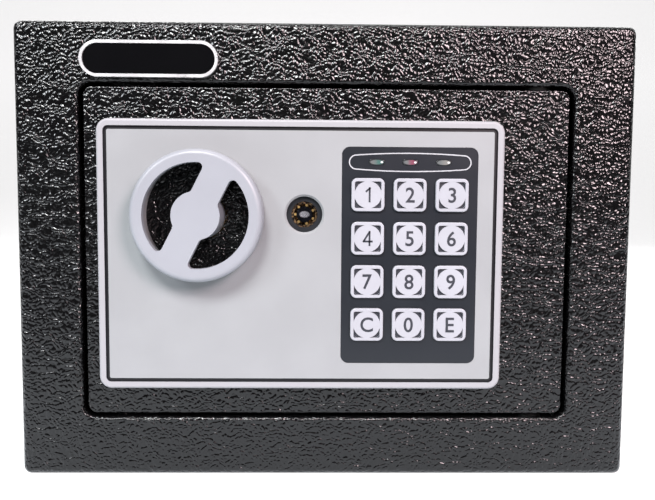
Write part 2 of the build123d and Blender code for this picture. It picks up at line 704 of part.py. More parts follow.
def make_keypad_plate():
    """Dark plate let into the fascia, with a window for each key and each light."""
    outline = Pos(KEYPAD_X, KEYPAD_Z) * RectangleRounded(KEYPAD_W, KEYPAD_H, KEYPAD_CORNER_R)
    side = KEY_SIZE + 2 * WINDOW_FIT
    for x, z in key_spots().values():
        outline -= Pos(x, z) * RectangleRounded(side, side, KEY_CORNER_R + WINDOW_FIT)
    for x, z in light_spots():
        outline -= Pos(x, z) * SlotOverall(LIGHT_L + 2 * SEAT_GAP, LIGHT_H + 2 * SEAT_GAP)
    return slab(outline, PANEL_Y, KEYPAD_BACK_Y)


def make_key(x, z):
    """Keycap with a raised rim, a round pad and four sunk corners, on a retaining flange."""
    place = Pos(x, z)
    flange_back = DOME_TOP_Y - KEY_LIFT
    cap = RectangleRounded(KEY_SIZE, KEY_SIZE, KEY_CORNER_R)
    key = slab(place * cap, PANEL_Y - KEY_PROUD, flange_back)
    key = fillet(front_edges(key), KEY_EDGE_R)
    side = KEY_SIZE + 2 * KEY_FLANGE_W
    flange = place * RectangleRounded(side, side, KEY_CORNER_R)
    key += slab(flange, flange_back - KEY_FLANGE_T, flange_back)
    inner = KEY_SIZE - 2 * KEY_RIM_W
    wedges = RectangleRounded(inner, inner, KEY_CORNER_R - KEY_RIM_W / 2)
    wedges -= Circle(inner / 2 + SEAT_GAP)
    front = PANEL_Y - KEY_PROUD
    return key - slab(place * wedges, front - 1, front + KEY_WEDGE_D)


def make_keypad_membrane():
    """Rubber sheet with a dome under each key."""
    low = KEYPAD_Z - WINDOW_H / 2 + SEAT_GAP
    high = LIGHT_Z - LIGHT_H / 2 - KEY_FLANGE_W
    half_w = WINDOW_W / 2 - SEAT_GAP
    sheet_outline = rect(KEYPAD_X - half_w, KEYPAD_X + half_w, low, high)
    sheet = slab(sheet_outline, BOARD_FRONT_Y - MEMBRANE_T, BOARD_FRONT_Y)
    domes = []
    for x, z in key_spots().values():
        base = Plane.XZ.offset(MEMBRANE_T - BOARD_FRONT_Y) * Pos(x, z) * Circle(DOME_R)
        domes.append(extrude(base, amount=DOME_H, taper=30))
    return sheet + domes


def make_keypad_board():
    """Circuit board on its ledge inside the fascia."""
    board = Rectangle(WINDOW_W + 2 * BOARD_LEDGE, WINDOW_H + 2 * BOARD_LEDGE)
    return slab(Pos(KEYPAD_X, KEYPAD_Z) * board, BOARD_FRONT_Y, BOARD_BACK_Y)


def make_light(x, z):
    """Oval lens that stands on the board and shows in the keypad plate."""
    lens = slab(Pos(x, z) * SlotOverall(LIGHT_L, LIGHT_H), PANEL_Y - LIGHT_PROUD, BOARD_FRONT_Y)
    return fillet(front_edges(lens), LIGHT_PROUD)


# Knob and crank


def knob_windows():
    """The two finger windows each side of the slanted bar, as an outline."""
    bar = Rot(0, 0, -KNOB_BAR_TILT) * Rectangle(KNOB_BAR_W, 3 * KNOB_R)
    windows = Circle(KNOB_WINDOW_R) - bar - Circle(KNOB_HUB_R)
    return fillet(windows.vertices(), KNOB_WINDOW_CORNER_R)


def make_knob():
    """Hollow knob: a rounded face with two windows, a skirt, and a hub on the spindle."""
    place = Pos(KNOB_X, KNOB_Z)
    back_y = PANEL_Y - KNOB_LIFT
    front_y = back_y - KNOB_D
    knob = slab(place * Circle(KNOB_R), front_y, back_y)
    knob = fillet(front_edges(knob), KNOB_EDGE_R)
    knob -= slab(place * Circle(KNOB_R - KNOB_SKIRT_T), front_y + KNOB_FACE_T, back_y + 1)
    knob -= slab(place * knob_windows(), front_y - 1, back_y)
    hub_back = DOOR_FRONT_Y - BUSH_FLANGE_T - CRANK_GAP
    knob += slab(place * Circle(KNOB_HUB_R), front_y + KNOB_FACE_T / 2, hub_back)
    spindle_front = hub_back - SPINDLE_GRIP
    knob -= slab(place * Circle(SPINDLE_R + SHAFT_FIT), spindle_front, hub_back + 1)
    return knob - grub_screw(KNOB_HUB_R + 1, SHAFT_FIT)


def grub_screw(length, clearance):
    """Screw that points at the spindle's middle, square to the knob's bar."""
    grip_y = DOOR_FRONT_Y - BUSH_FLANGE_T - CRANK_GAP - SPINDLE_GRIP / 2
    screw = extrude(Circle(GRUB_R + clearance), amount=length - SPINDLE_R)
    aim = Location((KNOB_X, grip_y, KNOB_Z), (0, 90 + KNOB_BAR_TILT, 0))
    return aim * Pos(0, 0, SPINDLE_R) * screw


def make_knob_spindle():
    """Steel shaft from the knob's hub to the crank."""
    hub_back = DOOR_FRONT_Y - BUSH_FLANGE_T - CRANK_GAP
    shaft = Pos(KNOB_X, KNOB_Z) * Circle(SPINDLE_R)
    return slab(shaft, hub_back - SPINDLE_GRIP + SEAT_GAP, CRANK_Y + CRANK_T)


def make_spindle_bush():
    """Flanged bush in the door that the spindle turns in."""
    place = Pos(KNOB_X, KNOB_Z)
    bush = slab(place * Circle(BUSH_FLANGE_R), DOOR_FRONT_Y - BUSH_FLANGE_T, DOOR_FRONT_Y)
    bush += slab(place * Circle(SPINDLE_R + BUSH_WALL_T), DOOR_FRONT_Y, NUT_Y)
    bore = place * Circle(SPINDLE_R + SHAFT_FIT)
    return bush - slab(bore, DOOR_FRONT_Y - BUSH_FLANGE_T - 1, NUT_Y + 1)


def make_nut(x, z, across_flats, bore_r):
    """Thin hexagon nut against the door's back."""
    outline = Pos(x, z) * (hexagon(across_flats) - Circle(bore_r))
    return slab(outline, DOOR_BACK_Y, NUT_Y)


def crank_pin_offset():
    """Where the crank pin rests, from the spindle's middle, in X and Z."""
    angle = math.radians(CRANK_SWING / 2)
    return CRANK_RADIUS * math.sin(angle), CRANK_RADIUS * math.cos(angle)


def make_crank():
    """Arm on the spindle's end with a pin that drives the carriage."""
    pin_x, pin_z = crank_pin_offset()
    hub = Circle(CRANK_HUB_R)
    end = Pos(pin_x, pin_z) * Circle(CRANK_END_R)
    arm = make_hull(hub.edges() + end.edges()) - Circle(SPINDLE_R + SHAFT_FIT)
    place = Pos(KNOB_X, KNOB_Z)
    crank = slab(place * arm, CRANK_Y, CRANK_Y + CRANK_T)
    pin = place * Pos(pin_x, pin_z) * Circle(CRANK_PIN_R)
    return crank + slab(pin, CRANK_Y + CRANK_T, CARRIAGE_Y + CARRIAGE_T + CARRIAGE_GAP)


# Bolt carriage, bolts and their guides


def guide_post_zs():
    """Heights of the two posts that the carriage slides on."""
    return [DOOR_Z + side * GUIDE_POST_SPACING / 2 for side in (-1, 1)]


def make_bolt_carriage():
    """Folded plate with a driven slot, two guide slots, a bolt flange and a notched arm."""
    slot_h = GUIDE_POST_R + SHAFT_FIT
    low = guide_post_zs()[0] - slot_h - CARRIAGE_MARGIN
    high = guide_post_zs()[1] + slot_h + CARRIAGE_MARGIN
    notch_x = LOCK_X + THROW
    notch_half = PLUNGER_R + NOTCH_PLAY
    arm_end_x = notch_x + notch_half + ARM_END_W
    outline = rect(FLANGE_X, CARRIAGE_RIGHT_X, low, high)
    outline += rect(CARRIAGE_RIGHT_X, arm_end_x, ARM_LOW_Z, ARM_TOP_Z)
    outline = fillet(outline.vertices().group_by(Axis.X)[1:], CARRIAGE_MARGIN / 2)
    outline -= rect(notch_x - notch_half, notch_x + notch_half, ARM_LOW_Z - 1, ARM_LOW_Z + NOTCH_D)

    slot_x0 = GUIDE_POST_X - slot_h - CRANK_PLAY
    slot_x1 = GUIDE_POST_X + THROW + slot_h + CRANK_PLAY
    for z in guide_post_zs():
        slot = SlotOverall(slot_x1 - slot_x0, 2 * slot_h)
        outline -= Pos((slot_x0 + slot_x1) / 2, z) * slot

    pin_x, pin_z = crank_pin_offset()
    pin_room = CRANK_PIN_R + CRANK_PLAY
    slot_low = KNOB_Z + pin_z - pin_room
    slot_high = KNOB_Z + CRANK_RADIUS + pin_room
    slot = Rot(0, 0, 90) * SlotOverall(slot_high - slot_low, 2 * pin_room)
    outline -= Pos(KNOB_X + pin_x, (slot_low + slot_high) / 2) * slot
    carriage = slab(outline, CARRIAGE_Y, CARRIAGE_Y + CARRIAGE_T)

    flange = rect(FLANGE_X, FLANGE_X + CARRIAGE_T, CARRIAGE_Y, CARRIAGE_Y + FLANGE_D)
    carriage += upright(flange, low, high)
    for z in BOLT_ZS:
        spigot = Pos(BOLT_Y, z) * Circle(BOLT_SPIGOT_R + SHAFT_FIT)
        carriage -= across(spigot, FLANGE_X - 1, FLANGE_X + CARRIAGE_T + 1)
    return carriage


def make_locking_bolts():
    """Two round steel bolts, each riveted through the carriage's flange by a spigot."""
    bolts = []
    for z in BOLT_ZS:
        bolt = across(Pos(BOLT_Y, z) * Circle(BOLT_R), BOLT_TIP_X, FLANGE_X)
        bolt = chamfer(bolt.edges().sort_by(Axis.X)[0], BOLT_CHAMFER)
        spigot = Pos(BOLT_Y, z) * Circle(BOLT_SPIGOT_R)
        bolts.append(bolt + across(spigot, FLANGE_X, FLANGE_X + CARRIAGE_T))
    return Compound(children=bolts)


def make_bolt_guide():
    """Angle on the door's back with a bored web that steadies the bolts."""
    low = BOLT_ZS[0] - GUIDE_END_MARGIN
    high = BOLT_ZS[1] + GUIDE_END_MARGIN
    web_back = BOLT_Y + BOLT_R + GUIDE_T
    web = rect(GUIDE_X, GUIDE_X + GUIDE_T, DOOR_BACK_Y, web_back)
    foot = rect(GUIDE_X, GUIDE_X + GUIDE_FOOT_W, DOOR_BACK_Y, DOOR_BACK_Y + GUIDE_T)
    guide = upright(web + foot, low, high)
    for z in BOLT_ZS:
        bore = Pos(BOLT_Y, z) * Circle(BOLT_R + GUIDE_BOLT_GAP)
        guide -= across(bore, GUIDE_X - 1, GUIDE_X + GUIDE_T + 1)
    return guide


def make_guide_posts():
    """Two headed posts welded to the door, in the carriage's slots."""
    posts = []
    for z in guide_post_zs():
        place = Pos(GUIDE_POST_X, z)
        head_y = CARRIAGE_Y + CARRIAGE_T + CARRIAGE_GAP
        post = slab(place * Circle(GUIDE_POST_R), DOOR_BACK_Y, head_y)
        head = slab(place * Circle(GUIDE_POST_HEAD_R), head_y, head_y + GUIDE_POST_HEAD_T)
        posts.append(post + fillet(back_edges(head), GUIDE_POST_HEAD_T / 3))
    return Compound(children=posts)


# Emergency lock


def make_lock_cylinder():
    """Flanged lock body through the door, bored for its core."""
    place = Pos(LOCK_X, LOCK_Z)
    head_front = PANEL_Y + LOCK_HEAD_SINK
    body = slab(place * Circle(LOCK_HEAD_R), head_front, DOOR_FRONT_Y)
    body += slab(place * Circle(LOCK_BODY_R), DOOR_FRONT_Y, LOCK_BACK_Y)
    bore = place * Circle(CORE_R + SHAFT_FIT)
    return body - slab(bore, head_front - 1, LOCK_BACK_Y + 1)


def make_lock_core():
    """Turning core with a ring slot for a tubular key, a centre post and a square tail."""
    place = Pos(LOCK_X, LOCK_Z)
    front_y = PANEL_Y + LOCK_HEAD_SINK + CORE_SINK
    core = slab(place * Circle(CORE_R), front_y, LOCK_BACK_Y)
    ring = place * (Circle(CORE_SLOT_R) - Circle(CORE_POST_R))
    core -= slab(ring, front_y - 1, front_y + CORE_SLOT_D)
    tail = place * Rectangle(CORE_TAIL_SIDE, CORE_TAIL_SIDE)
    return core + slab(tail, LOCK_BACK_Y, LEVER_Y + LEVER_T)


def make_lock_cam():
    """Lever on the core's tail that pushes the plunger clear."""
    hub = Circle(LOCK_BODY_R)
    end = Pos(LEVER_L - LEVER_END_R, 0) * Circle(LEVER_END_R)
    hole = CORE_TAIL_SIDE + 2 * SHAFT_FIT
    outline = make_hull(hub.edges() + end.edges()) - Rectangle(hole, hole)
    return slab(Pos(LOCK_X, LOCK_Z) * outline, LEVER_Y, LEVER_Y + LEVER_T)


# Solenoid


def make_solenoid_plunger():
    """Sprung rod under the carriage's arm, with a tongue that reaches up to the lock's cam."""
    axis = Pos(LOCK_X, PLUNGER_Y)
    plunger = upright(axis * Circle(PLUNGER_R), PLUNGER_TIP_Z - PLUNGER_L, PLUNGER_TIP_Z)
    plunger += upright(axis * Circle(COLLAR_R), COLLAR_LOW_Z, COLLAR_LOW_Z + COLLAR_T)
    tongue_y = LEVER_Y + (LEVER_T - TONGUE_T) / 2
    tongue = rect(LOCK_X - TONGUE_W / 2, LOCK_X + TONGUE_W / 2, tongue_y, tongue_y + TONGUE_T)
    return plunger + upright(tongue, COLLAR_LOW_Z, LOCK_Z - LEVER_L - LEVER_GAP)


def make_plunger_spring():
    """Coil spring between the solenoid and the plunger's collar."""
    pitch = (SPRING_L - 2 * SPRING_WIRE_R - SEAT_GAP) / SPRING_COILS
    coil = Helix(pitch, SPRING_COILS * pitch, SPRING_R)
    wire = Plane(coil @ 0, z_dir=coil % 0) * Circle(SPRING_WIRE_R)
    base_z = SOLENOID_TOP_Z + SPRING_WIRE_R + SEAT_GAP / 2
    return Pos(LOCK_X, PLUNGER_Y, base_z) * sweep(wire, path=coil, is_frenet=True)


def make_solenoid_frame():
    """U-shaped steel frame round the coil, with its web against the door."""
    half_w = SOLENOID_W / 2
    web = rect(LOCK_X - half_w, LOCK_X + half_w, DOOR_BACK_Y, DOOR_BACK_Y + SOLENOID_PLATE_T)
    end = rect(LOCK_X - half_w, LOCK_X + half_w, DOOR_BACK_Y, PLUNGER_Y + COIL_R)
    frame = upright(web, SOLENOID_LOW_Z, SOLENOID_TOP_Z)
    frame += upright(end, SOLENOID_LOW_Z, SOLENOID_LOW_Z + SOLENOID_PLATE_T)
    frame += upright(end, SOLENOID_TOP_Z - SOLENOID_PLATE_T, SOLENOID_TOP_Z)
    bore = Pos(LOCK_X, PLUNGER_Y) * Circle(PLUNGER_R + WINDOW_FIT)
    return frame - upright(bore, SOLENOID_TOP_Z - SOLENOID_PLATE_T - 1, SOLENOID_TOP_Z + 1)


def make_solenoid_coil():
    """Wound coil on its bobbin, with a terminal block, bored for the plunger."""
    low = SOLENOID_LOW_Z + SOLENOID_PLATE_T
    high = SOLENOID_TOP_Z - SOLENOID_PLATE_T
    axis = Pos(LOCK_X, PLUNGER_Y)
    cheek_t = SOLENOID_PLATE_T
    front_room = PLUNGER_Y - DOOR_BACK_Y - SOLENOID_PLATE_T
    cheek_r = min(COIL_R, front_room - SEAT_GAP)
    coil = upright(axis * Circle(cheek_r), low, low + cheek_t)
    coil += upright(axis * Circle(cheek_r), high - cheek_t, high)
    coil += upright(axis * Circle(cheek_r - 1), low + cheek_t, high - cheek_t)
    mid = (low + high) / 2
    block_y = PLUNGER_Y - COIL_TERMINAL_W / 2
    block = rect(LOCK_X, terminal_x(), block_y, block_y + COIL_TERMINAL_W)
    coil += upright(block, mid - COIL_TERMINAL_W, mid + COIL_TERMINAL_W)
    bore_low = PLUNGER_TIP_Z - PLUNGER_L - PLUNGER_TRAVEL - PLUNGER_GAP
    return coil - upright(axis * Circle(PLUNGER_R + WINDOW_FIT), bore_low, high + 1)


def terminal_x():
    """Right end of the coil's terminal block."""
    return LOCK_X + SOLENOID_W / 2 + 1


# Mechanism cover


def cover_post_spots():
    """Places of the four posts that carry the cover, in X and Z."""
    x_mid = (COVER_LEFT_X + COVER_RIGHT_X) / 2
    z_mid = (COVER_LOW_Z + COVER_HIGH_Z) / 2
    spots = GridLocations(
        COVER_RIGHT_X - COVER_LEFT_X - 2 * COVER_POST_INSET_X,
        COVER_HIGH_Z - COVER_LOW_Z - 2 * COVER_POST_INSET_Z,
        2,
        2,
    )
    return [Pos(x_mid, z_mid) * spot for spot in spots]


def make_cover_posts():
    """Four posts welded to the door, tapped for the cover's screws."""
    posts = []
    for place in cover_post_spots():
        post = slab(place * Circle(COVER_POST_R), DOOR_BACK_Y, COVER_INNER_Y)
        hole_y = COVER_BACK_Y - COVER_SCREW_L
        posts.append(post - slab(place * Circle(COVER_SCREW_R), hole_y, COVER_INNER_Y + 1))
    return Compound(children=posts)


def make_mechanism_cover():
    """Pressed cover with windows for the battery lid and the reset button."""
    width = COVER_RIGHT_X - COVER_LEFT_X
    height = COVER_HIGH_Z - COVER_LOW_Z
    middle = Pos(COVER_LEFT_X + width / 2, COVER_LOW_Z + height / 2)
    outer = slab(
        middle * RectangleRounded(width, height, COVER_CORNER_R), DOOR_BACK_Y, COVER_BACK_Y
    )
    outer = fillet(back_edges(outer), COVER_EDGE_R)
    inner = slab(
        middle
        * RectangleRounded(width - 2 * COVER_T, height - 2 * COVER_T, COVER_CORNER_R - COVER_T),
        DOOR_BACK_Y - 1,
        COVER_INNER_Y,
    )
    inner = fillet(back_edges(inner), COVER_EDGE_R - COVER_T)
    cover = outer - inner
    windows = Pos(BATTERY_X, BATTERY_Z) * Rectangle(LID_W + 2 * WINDOW_FIT, LID_H + 2 * WINDOW_FIT)
    windows += Pos(RESET_X, RESET_Z) * Circle(RESET_R + WINDOW_FIT)
    for place in cover_post_spots():
        windows += place * Circle(COVER_SCREW_R + SEAT_GAP)
    cover -= slab(windows, COVER_INNER_Y - 1, COVER_BACK_Y + 1)
    for z in BOLT_ZS:
        room = BOLT_R + COVER_NOTCH_GAP
        notch = Pos(BOLT_Y, z) * Circle(room) + rect(DOOR_BACK_Y - 1, BOLT_Y, z - room, z + room)
        cover -= across(notch, COVER_LEFT_X - 1, COVER_LEFT_X + COVER_T + 1)
    return cover


def make_cover_screws():
    """Four screws through the cover into its posts."""
    screws = []
    for place in cover_post_spots():
        shank = place * Circle(COVER_SCREW_R - SHAFT_FIT)
        screw = slab(shank, COVER_BACK_Y - COVER_SCREW_L + SEAT_GAP, COVER_BACK_Y)
        head = slab(
            place * Circle(COVER_SCREW_HEAD_R), COVER_BACK_Y, COVER_BACK_Y + COVER_SCREW_HEAD_T
        )
        screws.append(screw + fillet(back_edges(head), COVER_SCREW_HEAD_T / 3))
    return Compound(children=screws)


# Battery compartment


def make_battery_box():
    """Open box for the cells, on walls that stand on the door's back."""
    middle = Pos(BATTERY_X, BATTERY_Z)
    box = slab(middle * Rectangle(BATTERY_BOX_W, BATTERY_BOX_H), DOOR_BACK_Y, COVER_INNER_Y)
    hollow = middle * Rectangle(LID_W, LID_H)
    box -= slab(hollow, BATTERY_FLOOR_Y, COVER_INNER_Y + 1)
    return box - slab(hollow, DOOR_BACK_Y - 1, DOOR_BACK_Y + BATTERY_FOOT_H)


def make_batteries():
    """Four AA cells side by side, turned end for end in turn."""
    cells = []
    for i, z in enumerate(CELL_ZS):
        cell = extrude(Circle(CELL_R), amount=CELL_L)
        cell = fillet(cell.edges(), CELL_R / 12)
        cell += Pos(0, 0, CELL_L) * extrude(Circle(CELL_NUB_R), amount=CELL_NUB_L)
        turn = 90 if i % 2 == 0 else -90
        start = nub_gap() if turn > 0 else BATTERY_BOX_W - nub_gap()
        start_x = BATTERY_LEFT_X + start
        cells.append(Location((start_x, CELL_Y, z), (0, turn, 0)) * cell)
    return Compound(children=cells)


def nub_gap():
    """From the box's outer side to a cell's flat end, past the wall, plate and spring."""
    return BATTERY_WALL_T + CONTACT_T + BATTERY_SPRING_L + SEAT_GAP


def make_battery_contacts():
    """Plates at both ends of the cells, each with a spring cone for every other cell."""
    contacts = []
    cone_l = BATTERY_SPRING_L
    for side in (0, 1):
        wall_x = BATTERY_LEFT_X + BATTERY_WALL_T + side * LID_W
        away = 1 - 2 * side
        x0, x1 = sorted((wall_x, wall_x + away * CONTACT_T))
        plate = across(rect(CELL_Y - CELL_R / 2, CELL_Y + CELL_R / 2, *contact_span()), x0, x1)
        for z in CELL_ZS[side::2]:
            cone = extrude(Circle(CONTACT_SPRING_R), amount=cone_l, taper=25)
            aim = Location((wall_x + away * CONTACT_T, CELL_Y, z), (0, 90 * away, 0))
            plate += aim * cone
        contacts.append(plate)
    return Compound(children=contacts)


def contact_span():
    """Lower and upper ends of the contact plates."""
    return CELL_ZS[0] - CELL_R / 2, CELL_ZS[-1] + CELL_R / 2


def make_battery_lid():
    """Lid let into the cover, with a shallow rim and grip ribs."""
    middle = Pos(BATTERY_X, BATTERY_Z)
    lid = slab(middle * Rectangle(LID_W, LID_H), COVER_INNER_Y, COVER_BACK_Y)
    lid = chamfer(back_edges(lid), COVER_T / 4)
    for i in range(LID_RIB_COUNT):
        z = BATTERY_Z + LID_H / 2 - LID_RIB_PITCH * (i + 2)
        rib = Pos(BATTERY_X, z) * SlotOverall(LID_W / 3, LID_RIB_PITCH / 2)
        lid += slab(rib, COVER_BACK_Y, COVER_BACK_Y + LID_RIB_H)
    lip = Rectangle(LID_W - 2 * LID_LEDGE, LID_H - 2 * LID_LEDGE)
    lip -= Rectangle(LID_W - 4 * LID_LEDGE, LID_H - 4 * LID_LEDGE)
    return lid + slab(middle * lip, COVER_INNER_Y - LID_LEDGE, COVER_INNER_Y)


# Reset button


def reset_rest_y():
    """Inner end of the reset button at rest."""
    return COVER_INNER_Y - SEAT_GAP - RESET_FLANGE_T - RESET_R


def make_reset_button():
    """Flanged button in the cover's window."""
    place = Pos(RESET_X, RESET_Z)
    button = slab(place * Circle(RESET_R), reset_rest_y(), COVER_BACK_Y + RESET_PROUD)
    button = fillet(back_edges(button), RESET_R / 5)
    flange_y = COVER_INNER_Y - SEAT_GAP
    return button + slab(place * Circle(RESET_FLANGE_R), flange_y - RESET_FLANGE_T, flange_y)


def reset_board_y():
    """Front and back of the small board under the reset button."""
    back = reset_rest_y() - RESET_TRAVEL - WINDOW_FIT - RESET_SWITCH_H
    return back - BOARD_T, back


def make_reset_switch():
    """Push switch on a small board that hangs from the cover on two legs."""
    board_y0, board_y1 = reset_board_y()
    place = Pos(RESET_X, RESET_Z)
    switch = slab(place * Rectangle(RESET_BOARD_W, RESET_BOARD_H), board_y0, board_y1)
    body = place * Rectangle(RESET_SWITCH_SIDE, RESET_SWITCH_SIDE)
    switch += slab(body, board_y1, board_y1 + RESET_SWITCH_H)
    for side in (-1, 1):
        leg = place * Pos(side * (RESET_BOARD_W / 2 - 2 * RESET_LEG_R), 0) * Circle(RESET_LEG_R)
        switch += slab(leg, board_y1, COVER_INNER_Y)
    return switch


# Wiring


def make_wire_grommet():
    """Rubber ring in the door that the wires pass through."""
    place = Pos(WIRE_HOLE_X, WIRE_HOLE_Z)
    front_y = DOOR_FRONT_Y - GROMMET_RIM_T
    back_y = DOOR_BACK_Y + GROMMET_RIM_T
    ring = slab(place * Circle(GROMMET_RIM_R), front_y, DOOR_FRONT_Y)
    ring += slab(place * Circle(GROMMET_BORE_R + GROMMET_WALL_T), DOOR_FRONT_Y, DOOR_BACK_Y)
    ring += slab(place * Circle(GROMMET_RIM_R), DOOR_BACK_Y, back_y)
    return ring - slab(place * Circle(GROMMET_BORE_R), front_y - 1, back_y + 1)


def lead(points, radius):
    """Insulated wire along straight runs joined by arcs."""
    path = FilletPolyline(*points, radius=radius)
    return sweep(Plane(path @ 0, z_dir=path % 0) * Circle(WIRE_R), path=path)


def make_wiring():
    """Leads from the keypad's board to the solenoid, the batteries and the reset switch."""
    room = GROMMET_BORE_R - WIRE_R - SEAT_GAP
    start_y = BOARD_BACK_Y
    run_y = DOOR_BACK_Y + WIRE_STANDOFF * WIRE_R
    bend = WIRE_BEND * WIRE_R
    x0, x1 = WIRE_HOLE_X - room * 0.8, WIRE_HOLE_X + room * 0.8
    z0, z1 = WIRE_HOLE_Z - room * 0.5, WIRE_HOLE_Z + room * 0.8
    block_z = (SOLENOID_LOW_Z + SOLENOID_TOP_Z) / 2
    block_x = terminal_x()
    side_x = (block_x + BATTERY_LEFT_X) / 2
    end_bend = min(bend, 0.45 * abs(side_x - block_x))
    to_solenoid = [
        (x0, start_y, z0),
        (x0, run_y, z0),
        (side_x, run_y, BATTERY_TOP_Z),
        (side_x, run_y, block_z + 2 * WIRE_R),
        (side_x, PLUNGER_Y, block_z),
        (block_x, PLUNGER_Y, block_z),
    ]
    to_batteries = [
        (x1, start_y, z0),
        (x1, run_y, z0),
        (x1, run_y, BATTERY_TOP_Z),
    ]
    board_y = sum(reset_board_y()) / 2
    switch_x = RESET_X - RESET_BOARD_W / 2
    to_switch = [
        (WIRE_HOLE_X, start_y, z1),
        (WIRE_HOLE_X, board_y, z1),
        (WIRE_HOLE_X + 5 * WIRE_R, board_y, RESET_Z),
        (switch_x, board_y, RESET_Z),
    ]
    leads = [lead(to_solenoid, end_bend), lead(to_batteries, bend), lead(to_switch, bend)]
    return Compound(children=leads)


# All pieces by name


def make_all():
    """Every piece of the safe, by the name of its node."""
    pieces = {
        "cabinet_shell": make_cabinet_shell(),
        "back_panel": make_back_panel(),
        "floor_mat": make_floor_mat(),
        "badge_plate": make_badge_plate(),
        "badge_rim": make_badge_rim(),
        "strike_plate": make_strike_plate(),
        "door_stops": make_door_stops(),
        "hinge_lugs": make_hinge_lugs(),
        "hinge_pins": make_hinge_pins(),
        "hinge_leaves": make_hinge_leaves(),
        "door_plate": make_door_plate(),
        "front_panel": make_front_panel(),
        "panel_screws": make_panel_screws(),
        "keypad_plate": make_keypad_plate(),
        "keypad_membrane": make_keypad_membrane(),
        "keypad_board": make_keypad_board(),
        "knob": make_knob(),
        "knob_grub_screw": grub_screw(KNOB_HUB_R, -SHAFT_FIT),
        "knob_spindle": make_knob_spindle(),
        "spindle_bush": make_spindle_bush(),
        "bush_nut": make_nut(KNOB_X, KNOB_Z, BUSH_NUT_ACROSS, SPINDLE_R + BUSH_WALL_T + SHAFT_FIT),
        "crank": make_crank(),
        "bolt_carriage": make_bolt_carriage(),
        "locking_bolts": make_locking_bolts(),
        "bolt_guide": make_bolt_guide(),
        "guide_posts": make_guide_posts(),
        "lock_cylinder": make_lock_cylinder(),
        "lock_nut": make_nut(LOCK_X, LOCK_Z, LOCK_NUT_ACROSS, LOCK_BODY_R + SHAFT_FIT),
        "lock_core": make_lock_core(),
        "lock_cam": make_lock_cam(),
        "solenoid_plunger": make_solenoid_plunger(),
        "plunger_spring": make_plunger_spring(),
        "solenoid_frame": make_solenoid_frame(),
        "solenoid_coil": make_solenoid_coil(),
        "cover_posts": make_cover_posts(),
        "mechanism_cover": make_mechanism_cover(),
        "cover_screws": make_cover_screws(),
        "battery_box": make_battery_box(),
        "battery_contacts": make_battery_contacts(),
        "batteries": make_batteries(),
        "battery_lid": make_battery_lid(),
        "reset_button": make_reset_button(),
        "reset_switch": make_reset_switch(),
        "wire_grommet": make_wire_grommet(),
        "wiring": make_wiring(),
    }
    for name, (x, z) in key_spots().items():
        pieces[f"key_{name}"] = make_key(x, z)
    for colour, (x, z) in zip(("green", "red", "yellow"), light_spots()):
        pieces[f"light_{colour}"] = make_light(x, z)
    return pieces


os.makedirs("parts", exist_ok=True)
for name, piece in make_all().items():
    export_step(piece, f"parts/{name}.step")
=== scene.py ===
import logging
import math
from dataclasses import dataclass, field
from enum import Enum
from typing import Optional, Union

import bmesh
import bpy
from mathutils import Matrix, Vector, noise


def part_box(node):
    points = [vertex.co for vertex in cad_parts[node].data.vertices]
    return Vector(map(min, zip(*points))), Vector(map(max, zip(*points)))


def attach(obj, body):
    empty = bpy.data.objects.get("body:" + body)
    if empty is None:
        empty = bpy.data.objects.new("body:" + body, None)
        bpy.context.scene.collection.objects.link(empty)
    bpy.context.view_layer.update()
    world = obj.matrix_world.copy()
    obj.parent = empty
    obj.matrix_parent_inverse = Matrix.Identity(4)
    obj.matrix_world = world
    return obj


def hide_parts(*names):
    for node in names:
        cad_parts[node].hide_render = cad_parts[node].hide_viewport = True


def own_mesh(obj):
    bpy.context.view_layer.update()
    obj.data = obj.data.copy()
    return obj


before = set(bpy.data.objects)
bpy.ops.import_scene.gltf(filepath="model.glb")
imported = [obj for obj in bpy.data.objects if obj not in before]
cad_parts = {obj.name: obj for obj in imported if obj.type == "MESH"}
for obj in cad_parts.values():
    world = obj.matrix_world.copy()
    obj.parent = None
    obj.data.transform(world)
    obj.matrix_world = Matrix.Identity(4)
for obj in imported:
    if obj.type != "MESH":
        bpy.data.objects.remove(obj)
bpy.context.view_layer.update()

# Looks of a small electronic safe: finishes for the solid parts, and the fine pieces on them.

LOG = logging.getLogger("safe")
MM = 0.001
MERGE = 0.002 * MM
SHARP = math.radians(35)
TO_FRONT = (0, -1, 0)

Colour = tuple[float, float, float]


class Axis(Enum):
    """A direction in the safe's own frame: right, into the safe, or up."""

    X = 0
    Y = 1
    Z = 2


